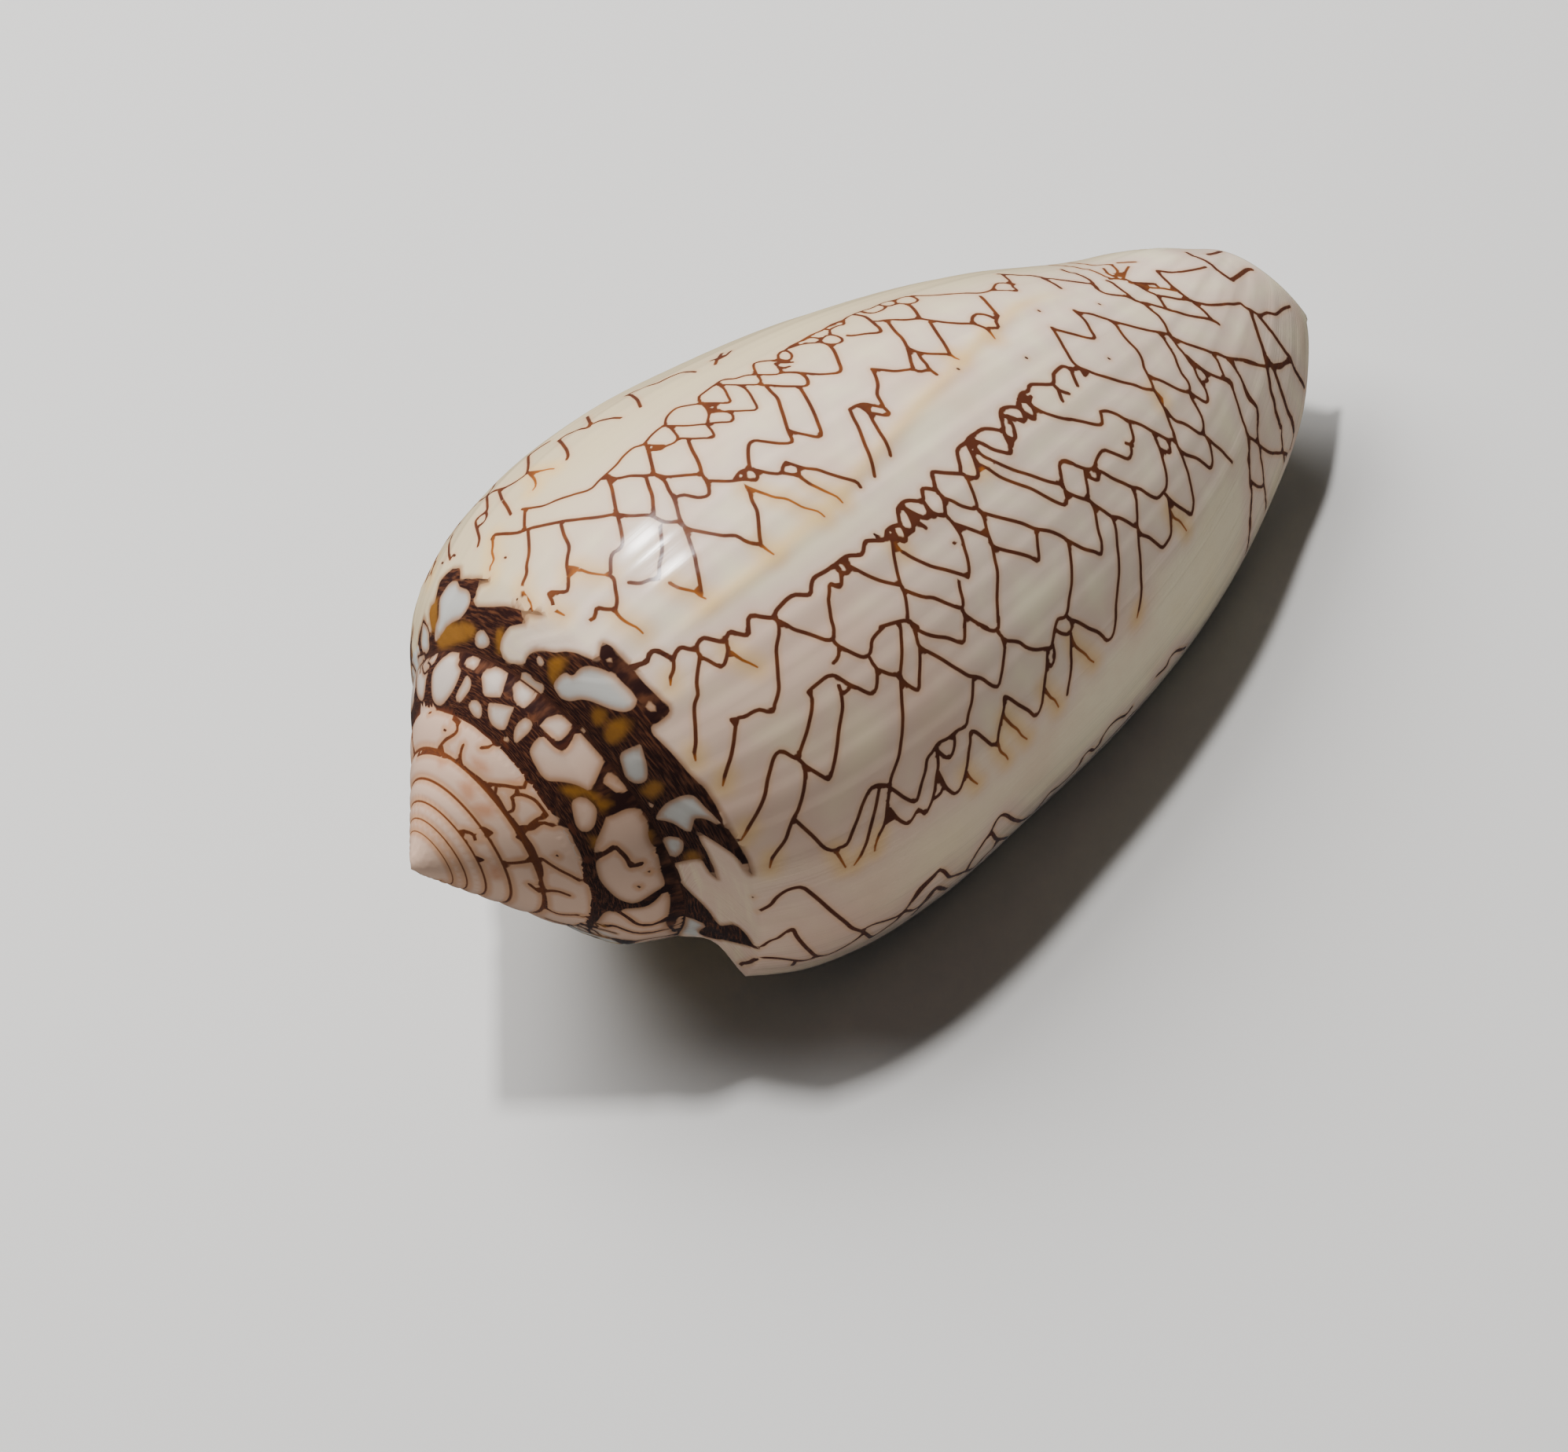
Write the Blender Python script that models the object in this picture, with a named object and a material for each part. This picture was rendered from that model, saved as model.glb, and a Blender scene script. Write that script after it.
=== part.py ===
"""Textile cone: one right-handed cone shell, hollow behind its long slit, lying on its mouth side."""

import bpy
import bmesh
import numpy as np
from mathutils import Matrix

TURN = 2.0 * np.pi

# Driving sizes, in metres; heights run along the coiling axis, from the pole of the spiral.
# LENGTH is where the front end would stand at the lip's own angle. The lip's growth line curls
# back there to older, shorter growth, so the shell itself is about 82 mm long.
LENGTH = 0.0840
SHOULDER_HEIGHT = 0.0160
LIP_THICKNESS = 0.0011
WALL_THICKNESS = 0.0022
LIP_ROUNDING = 0.0005
SMALLEST_GAP = 0.0005
APEX_RISE = 0.0005
TIP_DOME = 0.0010
REST_DEPTH = 0.00025

# Outline of the last whorl at the lip: level, part of the way from shoulder to front end, radius
BODY_OUTLINE = (
    (0.000, 0.00, 0.01970),
    (0.050, 0.05, 0.02155),
    (0.120, 0.12, 0.02290),
    (0.220, 0.22, 0.02340),
    (0.360, 0.36, 0.02265),
    (0.520, 0.52, 0.02130),
    (0.680, 0.68, 0.01865),
    (0.820, 0.82, 0.01470),
    (0.910, 0.92, 0.01095),
    (0.965, 0.98, 0.00760),
    (1.000, 1.00, 0.00640),
)

# Growth: each whorl is this many times the size of the one before
EARLY_GROWTH = 1.325
LATE_GROWTH = 1.51
GROWTH_CHANGE_FROM = -1.454 * TURN
GROWTH_CHANGE_SPAN = 0.8 * TURN
# How strongly the radius follows that growth, by level
GIRTH_GROWTH = ((0.0, 1.0), (0.35, 0.857), (0.7, 1.491), (0.85, 1.95), (1.0, 1.40))
# The front end of older growth stands this part of the length further back
FRONT_RETREAT = 0.082
FRONT_RETREAT_RATE = 3.0

# Suture: the level on the whorl before; early on it grows with the shell, late it drops to the lip
SUTURE_EARLY = 0.005
SUTURE_LATE = 0.041
SUTURE_DESCENT_SPAN = 0.6 * TURN

# Ramp between suture and shoulder: convex when young, hollow with a keeled edge near the lip
RAMP_TURN_IN = 0.69
RAMP_TURN_IN_EARLY = 0.16
RAMP_HANDLE_SUTURE = 0.133
RAMP_HANDLE_SHOULDER = 0.452
RAMP_HOLLOW_SUTURE = 0.05
RAMP_HOLLOW_SHOULDER = 0.20
RAMP_HOLLOW_SPAN = np.radians(110.0)

# Growth lines, in radians round the axis: they trail towards the front end, curl back at its
# corner, and bend back in the notch on the ramp
LINE_TRAIL = 0.20
LINE_CURL = 0.58
LINE_CURL_FROM = 0.72
NOTCH_DEPTH = 0.16

# Mouth: how far the hollow runs back, and how much of its width is left there
MOUTH_DEPTH = np.radians(198.0)
MOUTH_NARROWS_FROM = np.radians(60.0)
MOUTH_END_WIDTH = 0.12

# Rest: which growth angle faces down, and how far the front end is tipped down
REST_ROLL = np.radians(45.4)
REST_PITCH = np.radians(8.55)

# Mesh fineness
STEPS_PER_TURN = 40
WHORLS = 11
RAMP_ROWS = 3
SUTURE_ROWS = 1
EDGE_ROWS = 2
BODY_ROWS = 12
EDGE_LEVEL = 0.024

COLOUR_PORCELAIN = (0.80, 0.74, 0.62, 1.0)
ROUGHNESS_PORCELAIN = 0.28


def clear_scene():
    for item in list(bpy.data.objects):
        bpy.data.objects.remove(item, do_unlink=True)


def smooth_step(x):
    x = np.clip(x, 0.0, 1.0)
    return x * x * (3.0 - 2.0 * x)


def through_points(places, values, x):
    """Smooth curve through the values at the places."""
    places = np.asarray(places, float)
    values = np.asarray(values, float)
    gap = np.diff(places)
    slope = np.diff(values) / gap
    tangent = np.empty_like(values)
    tangent[1:-1] = (slope[:-1] * gap[1:] + slope[1:] * gap[:-1]) / (gap[:-1] + gap[1:])
    tangent[0] = 1.5 * slope[0] - 0.5 * tangent[1]
    tangent[-1] = 1.5 * slope[-1] - 0.5 * tangent[-2]
    span = np.clip(np.searchsorted(places, x, side="right") - 1, 0, len(gap) - 1)
    s = (x - places[span]) / gap[span]
    rise = (2.0 * s ** 3 - 3.0 * s ** 2 + 1.0) * values[span]
    rise = rise + (s ** 3 - 2.0 * s ** 2 + s) * tangent[span] * gap[span]
    rise = rise + (3.0 * s ** 2 - 2.0 * s ** 3) * values[span + 1]
    return rise + (s ** 3 - s ** 2) * tangent[span + 1] * gap[span]


def log_growth(angle):
    """Logarithm of the size at a growth angle; the lip is at angle 0 and has size 1."""
    early = np.log(EARLY_GROWTH) / TURN
    late = np.log(LATE_GROWTH) / TURN

    def grown(a):
        x = np.clip((a - GROWTH_CHANGE_FROM) / GROWTH_CHANGE_SPAN, 0.0, 1.0)
        past = np.maximum(a - GROWTH_CHANGE_FROM - GROWTH_CHANGE_SPAN, 0.0)
        return early * a + (late - early) * (GROWTH_CHANGE_SPAN * (x ** 3 - 0.5 * x ** 4) + past)

    return grown(np.asarray(angle, float)) - grown(0.0)


def body_curve(angle, level):
    """Height and radius of the last whorl's side, from shoulder (level 0) to front end (1)."""
    outline = np.array(BODY_OUTLINE)
    girth = np.array(GIRTH_GROWTH)
    size = log_growth(angle)
    radius = through_points(outline[:, 0], outline[:, 2], level)
    radius = radius * np.exp(size * through_points(girth[:, 0], girth[:, 1], level))
    shoulder = SHOULDER_HEIGHT * np.exp(size)
    retreat = FRONT_RETREAT * (1.0 - np.exp(FRONT_RETREAT_RATE * np.asarray(angle) / TURN))
    along = through_points(outline[:, 0], outline[:, 1], level)
    height = shoulder + (LENGTH * (1.0 - retreat) - shoulder) * along
    return height, radius


def suture_level(angle):
    """Level on the whorl before at which the whorl at this angle is joined to it."""
    early = SUTURE_EARLY * np.exp(log_growth(angle))
    x = (angle + SUTURE_DESCENT_SPAN) / SUTURE_DESCENT_SPAN
    return early + (SUTURE_LATE - early) * smooth_step(x)


def ramp_curve(angle, part):
    """Height and radius of the ramp, from the suture (part 0) to the shoulder (part 1)."""
    h0, r0 = body_curve(angle - TURN, suture_level(angle))
    h3, r3 = body_curve(angle, np.zeros_like(angle))
    h4, r4 = body_curve(angle, np.full_like(angle, 0.002))
    chord = np.hypot(h3 - h0, r3 - r0)
    chord_turn = np.arctan2(r3 - r0, h3 - h0)
    body_turn = np.arctan2(r4 - r3, h4 - h3)
    hollow = smooth_step((angle + RAMP_HOLLOW_SPAN) / RAMP_HOLLOW_SPAN)
    start = chord_turn - RAMP_HOLLOW_SUTURE * hollow
    young = smooth_step(-angle / TURN - 0.5)
    turn_in = RAMP_TURN_IN + (RAMP_TURN_IN_EARLY - RAMP_TURN_IN) * young
    rounded = chord_turn + (body_turn - chord_turn) * turn_in
    end = (1.0 - hollow) * rounded + hollow * (chord_turn + RAMP_HOLLOW_SHOULDER)
    h1 = h0 + np.cos(start) * chord * RAMP_HANDLE_SUTURE
    r1 = r0 + np.sin(start) * chord * RAMP_HANDLE_SUTURE
    h2 = h3 - np.cos(end) * chord * RAMP_HANDLE_SHOULDER
    r2 = r3 - np.sin(end) * chord * RAMP_HANDLE_SHOULDER
    a, b = (1.0 - part) ** 3, 3.0 * part * (1.0 - part) ** 2
    c, d = 3.0 * part ** 2 * (1.0 - part), part ** 3
    return a * h0 + b * h1 + c * h2 + d * h3, a * r0 + b * r1 + c * r2 + d * r3


def line_shift(part, level):
    """How far a growth line lies from its own angle, on the ramp and along the body."""
    curl = np.clip((level - LINE_CURL_FROM) / (1.0 - LINE_CURL_FROM), 0.0, 1.0)
    notch = NOTCH_DEPTH * np.sin(np.pi * part) ** 2
    return -notch - LINE_TRAIL * level ** 2 - LINE_CURL * curl ** 2.5


def spread_levels(first, last, count):
    """Levels between two ends, closer together at the shoulder and at the front end."""
    x = np.linspace(0.0, 1.0, count + 1)
    return first + (last - first) * (x - 0.10 * np.sin(TURN * x))


def outer_section(angle):
    """Points of the outside at one growth angle: suture, ramp, shoulder, body, front end."""
    joined = float(suture_level(min(angle + TURN, 0.0)))
    ramp = np.linspace(0.0, 1.0, RAMP_ROWS + 1)
    level = np.concatenate((
        np.linspace(0.0, joined, SUTURE_ROWS + 1)[1:],
        np.linspace(joined, joined + EDGE_LEVEL, EDGE_ROWS + 1)[1:],
        spread_levels(joined + EDGE_LEVEL, 1.0, BODY_ROWS)[1:],
    ))
    ramp_turn = angle + line_shift(ramp, 0.0 * ramp)
    body_turn = angle + line_shift(0.0 * level, level)
    ramp_h, ramp_r = ramp_curve(ramp_turn, ramp)
    body_h, body_r = body_curve(body_turn, level)
    turn = np.concatenate((ramp_turn, body_turn))
    return np.concatenate((ramp_h, body_h)), np.concatenate((ramp_r, body_r)), turn


def inner_section(angle, outer, wall):
    """Points of the inside of the outer wall, over the outside of the whorl before."""
    height, radius, turn = outer
    wall_height, wall_radius = wall
    slope_h = np.gradient(height)
    slope_r = np.gradient(radius)
    length = np.hypot(slope_h, slope_r)
    deep = smooth_step(-angle / MOUTH_NARROWS_FROM)
    thick = LIP_THICKNESS + (WALL_THICKNESS - LIP_THICKNESS) * deep
    inside_h = height + slope_r / length * thick
    inside_r = radius - slope_h / length * thick
    inside_h = np.clip(inside_h, wall_height[0], None)
    base = np.interp(inside_h, wall_height, wall_radius)
    row = np.arange(len(height)) / (RAMP_ROWS + SUTURE_ROWS)
    narrow = smooth_step((-angle - MOUTH_NARROWS_FROM) / (MOUTH_DEPTH - MOUTH_NARROWS_FROM))
    width = 1.0 - (1.0 - MOUTH_END_WIDTH) * narrow
    gap = np.maximum((inside_r - base) * width, SMALLEST_GAP * smooth_step(row))
    return inside_h, base + gap, turn


def at_axis(height, radius, turn):
    """Point of the coil in its own frame: the axis is X, and growth turns from Y to Z."""
    return np.stack((height, radius * np.cos(turn), radius * np.sin(turn)), axis=-1)


class Skin:
    """Points and faces of the shell, gathered piece by piece."""

    def __init__(self):
        self.points = []
        self.faces = []

    def add_points(self, places):
        first = len(self.points)
        self.points.extend(tuple(place) for place in np.atleast_2d(places))
        return list(range(first, len(self.points)))

    def add_face(self, corners):
        kept = []
        for corner in corners:
            if corner not in kept:
                kept.append(corner)
        if len(kept) > 2:
            self.faces.append(kept)

    def add_band(self, left, right, flip=False):
        """Faces between two lines with the same number of points."""
        for k in range(len(left) - 1):
            quad = (left[k], right[k], right[k + 1], left[k + 1])
            self.add_face(quad[::-1] if flip else quad)

    def add_zipper(self, left, right):
        """Triangles between two lines that have different numbers of points."""
        i, j = 0, 0
        while i < len(left) - 1 or j < len(right) - 1:
            ahead = (i + 1) * (len(right) - 1) <= (j + 1) * (len(left) - 1)
            if i < len(left) - 1 and (ahead or j == len(right) - 1):
                self.add_face((left[i], right[j], left[i + 1]))
                i += 1
            else:
                self.add_face((left[i], right[j], right[j + 1]))
                j += 1


def shell_skin():
    """The whole closed surface: coiled outside, lip edge, hollow, and rounded front end."""
    skin = Skin()
    last = STEPS_PER_TURN * WHORLS
    angles = (np.arange(last + 1) - last) * TURN / STEPS_PER_TURN
    deep = int(round(MOUTH_DEPTH / TURN * STEPS_PER_TURN))
    mouth_start = last - STEPS_PER_TURN
    hollow_start = mouth_start - deep
    joined_row = RAMP_ROWS + SUTURE_ROWS
    edge_row = joined_row + EDGE_ROWS
    sections = [outer_section(angle) for angle in angles]

    apex_height = sections[0][0][0] - APEX_RISE
    apex = skin.add_points((apex_height, 0.0, 0.0))[0]
    columns = []
    for i, section in enumerate(sections):
        places = at_axis(*section)
        if i == 0:
            tip = skin.add_points(places[joined_row])[0]
            columns.append([apex] + [tip] * joined_row)
            continue
        first = columns[i - STEPS_PER_TURN][joined_row] if i >= STEPS_PER_TURN else apex
        rows = [first] + skin.add_points(places[1:joined_row + 1])
        if i >= mouth_start:
            rows += skin.add_points(places[joined_row + 1:])
        elif i >= hollow_start:
            rows += [None] * (EDGE_ROWS - 1) + skin.add_points(places[edge_row:])
        columns.append(rows)

    for i in range(last):
        here, there = columns[i], columns[i + 1]
        skin.add_band(here[:joined_row + 1], there[:joined_row + 1])
        if i >= mouth_start:
            skin.add_band(here[joined_row:], there[joined_row:])
        elif i >= hollow_start:
            skin.add_band(here[edge_row:], there[edge_row:])

    add_hollow(skin, columns, sections, angles, deep, edge_row, joined_row)
    return skin


def add_hollow(skin, columns, sections, angles, deep, edge_row, joined_row):
    """The inside of the outer wall, the rounded edge of the lip, and what closes both ends."""
    last = len(columns) - 1
    inner, inner_places = {}, {}
    for i in range(last - deep, last + 1):
        wall_h, wall_r, _ = sections[i - STEPS_PER_TURN]
        section = inner_section(angles[i], sections[i], (wall_h[edge_row:], wall_r[edge_row:]))
        inner_places[i] = at_axis(*section)
        corner = columns[i - STEPS_PER_TURN][edge_row]
        inner[i] = [corner] + skin.add_points(inner_places[i][1:])
    for i in range(last - deep, last):
        skin.add_band(inner[i], inner[i + 1], flip=True)

    outer_places = at_axis(*sections[last])
    middle = 0.5 * (outer_places + inner_places[last])
    radial = middle * (0.0, 1.0, 1.0)
    radial /= np.linalg.norm(radial, axis=1, keepdims=True)
    forward = np.cross((1.0, 0.0, 0.0), radial)
    middle += forward * LIP_ROUNDING
    middle[-1] += np.array((LIP_ROUNDING, 0.0, 0.0))
    lip = [columns[last - STEPS_PER_TURN][joined_row + 1]] + skin.add_points(middle[1:])
    skin.add_band(columns[last], lip)
    skin.add_band(lip, inner[last])

    rim = {last: lip[-1]}
    for i in range(last - deep, last):
        outer_end = at_axis(*sections[i])[-1]
        place = 0.5 * (outer_end + inner_places[i][-1]) + np.array((LIP_ROUNDING, 0.0, 0.0))
        rim[i] = skin.add_points(place)[0]
    for i in range(last - deep, last):
        skin.add_face((columns[i][-1], columns[i + 1][-1], rim[i + 1], rim[i]))
        skin.add_face((rim[i], rim[i + 1], inner[i + 1][-1], inner[i][-1]))

    back = last - deep
    wall = columns[back - STEPS_PER_TURN][edge_row:]
    skin.add_zipper(inner[back], wall)

    loop = [columns[i][-1] for i in range(back - STEPS_PER_TURN, back + 1)]
    loop += [rim[back], inner[back][-1]]
    height = np.mean([skin.points[k][0] for k in loop]) + TIP_DOME
    centre = skin.add_points((height, 0.0, 0.0))[0]
    for k in range(len(loop)):
        skin.add_face((loop[k - 1], loop[k], centre))


def rest_frame():
    """Turns the coil so that its mouth faces down and its axis lies nearly level."""
    roll = Matrix.Rotation(-0.5 * np.pi - REST_ROLL, 4, "X")
    pitch = Matrix.Rotation(REST_PITCH, 4, "Y")
    return pitch @ roll


def porcelain():
    material = bpy.data.materials.new("porcelain")
    material.use_nodes = True
    shader = material.node_tree.nodes["Principled BSDF"]
    shader.inputs["Base Color"].default_value = COLOUR_PORCELAIN
    shader.inputs["Roughness"].default_value = ROUGHNESS_PORCELAIN
    shader.inputs["Metallic"].default_value = 0.0
    return material


def rest_flat(mesh):
    """Cuts the small flat that the shell rests on, and puts it at height 0."""
    bm = bmesh.new()
    bm.from_mesh(mesh)
    lowest = min(v.co.z for v in bm.verts)
    bmesh.ops.translate(bm, verts=bm.verts, vec=(0.0, 0.0, -lowest - REST_DEPTH))
    everything = bm.verts[:] + bm.edges[:] + bm.faces[:]
    bmesh.ops.bisect_plane(bm, geom=everything, plane_co=(0, 0, 0), plane_no=(0, 0, 1),
                           clear_inner=True)
    rims = [edge for edge in bm.edges if edge.is_boundary]
    bmesh.ops.holes_fill(bm, edges=rims)
    bmesh.ops.recalc_face_normals(bm, faces=bm.faces)
    bm.to_mesh(mesh)
    bm.free()


def centre_on_origin(mesh):
    """Moves the mesh so that the middle of its box stands over the origin."""
    places = np.array([v.co[:] for v in mesh.vertices])
    middle = 0.5 * (places.min(axis=0) + places.max(axis=0))
    mesh.transform(Matrix.Translation((-middle[0], -middle[1], 0.0)))


def shell():
    skin = shell_skin()
    mesh = bpy.data.meshes.new("shell")
    mesh.from_pydata(skin.points, [], skin.faces)
    mesh.transform(rest_frame())
    rest_flat(mesh)
    centre_on_origin(mesh)
    mesh.shade_smooth()
    mesh.materials.append(porcelain())
    piece = bpy.data.objects.new("shell", mesh)
    bpy.context.scene.collection.objects.link(piece)
    return piece


def main():
    clear_scene()
    shell()


main()
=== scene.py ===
"""Looks of the textile cone: the coiled surface, its drawn net of lines, the camera and the light."""

import bpy
import numpy as np
from mathutils import Matrix, Vector
from mathutils.bvhtree import BVHTree
from mathutils.geometry import delaunay_2d_cdt
from mathutils.kdtree import KDTree


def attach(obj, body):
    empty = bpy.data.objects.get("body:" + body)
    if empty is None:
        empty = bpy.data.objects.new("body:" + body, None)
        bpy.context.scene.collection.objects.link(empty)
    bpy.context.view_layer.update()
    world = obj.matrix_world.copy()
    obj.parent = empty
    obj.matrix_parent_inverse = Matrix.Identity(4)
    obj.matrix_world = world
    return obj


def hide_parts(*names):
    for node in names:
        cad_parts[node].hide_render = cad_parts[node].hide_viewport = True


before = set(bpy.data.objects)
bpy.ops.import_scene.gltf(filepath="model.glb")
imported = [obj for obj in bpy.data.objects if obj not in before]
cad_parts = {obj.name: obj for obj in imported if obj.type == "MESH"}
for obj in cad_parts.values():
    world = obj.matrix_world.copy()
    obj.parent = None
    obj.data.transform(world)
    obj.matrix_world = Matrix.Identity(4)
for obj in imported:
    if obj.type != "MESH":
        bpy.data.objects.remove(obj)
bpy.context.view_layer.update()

TURN = 2.0 * np.pi
MM = 0.001

# Sizes in metres, as in the solid; heights run along the coiling axis, from the pole of the spiral
LENGTH = 0.0840
SHOULDER_HEIGHT = 0.0160
LIP_THICKNESS = 0.0011
WALL_THICKNESS = 0.0022
LIP_ROUNDING = 0.0005
SMALLEST_GAP = 0.0005
APEX_RISE = 0.0005
TIP_DOME = 0.0010

# Outline of the last whorl at the lip: level, part of the way from shoulder to front end, radius
BODY_OUTLINE = (
    (0.000, 0.00, 0.01970),
    (0.050, 0.05, 0.02155),
    (0.120, 0.12, 0.02290),
    (0.220, 0.22, 0.02340),
    (0.360, 0.36, 0.02265),
    (0.520, 0.52, 0.02130),
    (0.680, 0.68, 0.01865),
    (0.820, 0.82, 0.01470),
    (0.910, 0.92, 0.01095),
    (0.965, 0.98, 0.00760),
    (1.000, 1.00, 0.00640),
)

# Growth: each whorl is this many times the size of the one before
EARLY_GROWTH = 1.325
LATE_GROWTH = 1.51
GROWTH_CHANGE_FROM = -1.454 * TURN
GROWTH_CHANGE_SPAN = 0.8 * TURN
GIRTH_GROWTH = ((0.0, 1.0), (0.35, 0.857), (0.7, 1.491), (0.85, 1.95), (1.0, 1.40))
FRONT_RETREAT = 0.082
FRONT_RETREAT_RATE = 3.0
SUTURE_EARLY = 0.005
SUTURE_LATE = 0.041
SUTURE_DESCENT_SPAN = 0.6 * TURN

# Ramp between suture and shoulder
RAMP_TURN_IN = 0.69
RAMP_TURN_IN_EARLY = 0.16
RAMP_HANDLE_SUTURE = 0.133
RAMP_HANDLE_SHOULDER = 0.452
RAMP_HOLLOW_SUTURE = 0.05
RAMP_HOLLOW_SHOULDER = 0.20
RAMP_HOLLOW_SPAN = np.radians(110.0)
BESIDE_SHOULDER = 0.002

# Growth lines, in radians round the axis
LINE_TRAIL = 0.20
LINE_CURL = 0.58
LINE_CURL_FROM = 0.72
NOTCH_DEPTH = 0.16

# Mouth
MOUTH_DEPTH = np.radians(198.0)
MOUTH_NARROWS_FROM = np.radians(60.0)
MOUTH_END_WIDTH = 0.12
EDGE_LEVEL = 0.024
SEAM_END = SUTURE_LATE + EDGE_LEVEL

# How the coil lies: roll and pitch, and where the pole of the spiral comes to lie
REST_ROLL = np.radians(45.4)
REST_PITCH = np.radians(8.55)
POLE = (-0.04047062, 0.00178143, 0.02138047)

# Camera: towards the growth angle it looks at, tilt, distance, and the aim on the coiling axis
CAMERA_AROUND = np.radians(-90.892)
CAMERA_TILT = np.radians(23.427)
CAMERA_ROLL = np.radians(0.284)
PICTURE_TURN = np.radians(35.0)
CAMERA_DISTANCE = 0.300
CAMERA_AIM = 0.42 * LENGTH
FOCAL_PIXELS = 5265.3
SENSOR = 36.0
PICTURE_WIDTH = 1995
PICTURE_HEIGHT = 1848
AIM_PIXEL = (1010.42, 768.56)

# Colours as they look on a screen
CELL_COLOUR = (215, 193, 175)
STRIPE_COLOUR = (224, 211, 182)
BLUSH_COLOUR = (206, 171, 150)
SIDE_COLOUR = (200, 158, 120)
CREAM_COLOUR = (222, 206, 170)
EARLY_COLOUR = (196, 178, 140)
SPIRE_SIDE_COLOUR = (150, 94, 58)
STAIN_COLOUR = (166, 100, 52)
GLOW_COLOUR = (216, 178, 112)
RAMP_COLOUR = (182, 180, 174)
FLESH_COLOUR = (196, 164, 143)
# Painted shade in the pale cells of the shoulder band, darkest at their edges
PAINTED_SHADE_COLOUR = (138, 104, 84)
LINE_COLOUR = (82, 44, 30)
END_COLOUR = (146, 84, 34)
BAND_COLOUR = (42, 24, 22)
BAND_LIGHT_COLOUR = (92, 56, 38)
RIM_COLOUR = (128, 88, 58)
GOLD_COLOUR = (138, 92, 34)
INSIDE_COLOUR = (232, 226, 216)

# Ranges over which the colours come in, with the least and the greatest share where they aren't
# 0 and 1; growth in radians, distance to the lines in mm
STRIPE_RANGE = (0.4, 2.4)
ROSY_LEVELS = (0.45, 0.08, 0.0, 0.6)
ROSY_GROWTH = (np.radians(-100.0), np.radians(-85.0))
BLUSH_RANGE = (0.45, 0.75, 0.0, 0.5)
CREAM_RANGE = (0.5, 0.3, 0.0, 0.5)
EARLY_GROWTH_RANGE = (np.radians(-112.0), np.radians(-150.0), 0.0, 0.85)
GLOW_RANGE = (1.6, 0.1, 0.0, 0.6)
COOL_START = (-TURN - np.radians(80.0), -TURN - np.radians(120.0), 0.0, 0.6)
COOL_END = (-1.6 * TURN, -1.5 * TURN)
SPIRE_SIDE_RANGE = (0.55, -0.05, 0.0, 0.75)
SIDE_RANGE = (0.45, 0.0, 0.0, 0.50)
RIM_RANGE = (0.55, -0.1, 0.0, 0.75)
OFF_BAND_TONES = (-0.9, -0.6)
ON_BAND_TONES = (-0.6, -0.9)
UNEVEN_RANGE = (0.35, 0.7, -0.1, 0.12)
BAND_LIGHT_RANGE = (0.42, 0.72)
# Greatest share of the ridge's glow, the stains and the golden patches
RIDGE_GLOW = 0.6
STAIN_STRENGTH = 0.6
GOLD_STRENGTH = 0.85
# Half the width, in mm, over which a line fades into its ground
LINE_SOFTNESS = 0.05
# Noise on the surface: how fine it is along the growth and across it
BROAD_NOISE = (2.2, 7.0)
FINE_NOISE = (14.0, 32.0)
STRIATION_NOISE = (60.0, 3.0)
NOISE_DETAIL = 3.0
STRIATION_RANGE = (np.radians(-55.0), np.radians(-38.0), 0.10, 1.0)
STRIATION_DEPTH = 0.00006
ROUGHNESS = 0.21
SPECULAR_LEVEL = 0.32

# Room: floor, even light, and lamps with their place, aim, sides, power and whether they mirror
FLOOR_SIZE = 4.0
FLOOR_COLOUR = (0.54, 0.53, 0.515)
FLOOR_ROUGHNESS = 0.8
WORLD_COLOUR = (0.9, 0.95, 1.0)
WORLD_STRENGTH = 0.06
LAMPS = {
    "window": ((0.046, 0.077, 0.475), (-0.0168, -0.0048, 0.0371), (0.034, 0.050), 2.5, True),
    "sky": ((-0.02, 0.31, 0.44), (0.0, 0.0, 0.01), (0.40, 0.40), 5.2, False),
    "fill": ((-0.05, -0.50, 0.30), (0.0, 0.0, 0.01), (0.50, 0.50), 0.06, False),
}

# Flat map of the surface: the growth angle whose outline lays it out, and its points
REFERENCE_ANGLE = -0.25 * TURN
FLAT_POINTS = 801

# Fineness of the visible surface, and how near to each other points count as one
SPACING = 0.35 * MM
ROW_RATIO = 0.88
CLEAR = 0.55
SHOULDER_STEPS = 340
EDGE_STEPS = 170
BODY_EDGE_ROWS = 52
EDGE_CROWDING = 0.10
RAMP_EDGE_ROWS = 10
LIP_STRIPS = 6
SPIRE_TURNS = 12
SECTION_POINTS = 60
FRONT_RINGS = 6
WELD = 1e-7
ANGLE_TOLERANCE = 1e-6
# How near the drawn points may come to the rims of the two outer pieces
RIM_CLEAR_ANGLE = 0.01
RIM_CLEAR_LEVEL = 0.004
RAMP_CLEAR_SHOULDER = 0.02
RAMP_CLEAR_SUTURE = 0.03
WHORL_CLEAR_ANGLE = 0.012
# Grids that the strokes are cast on: steps along the growth and across it
CAST_STEPS = 360
CAST_OLDER_STEPS = 240
CAST_BODY_ROWS = 121
CAST_RAMP_ROWS = 41
CAST_OLDER_ROWS = 25

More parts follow.
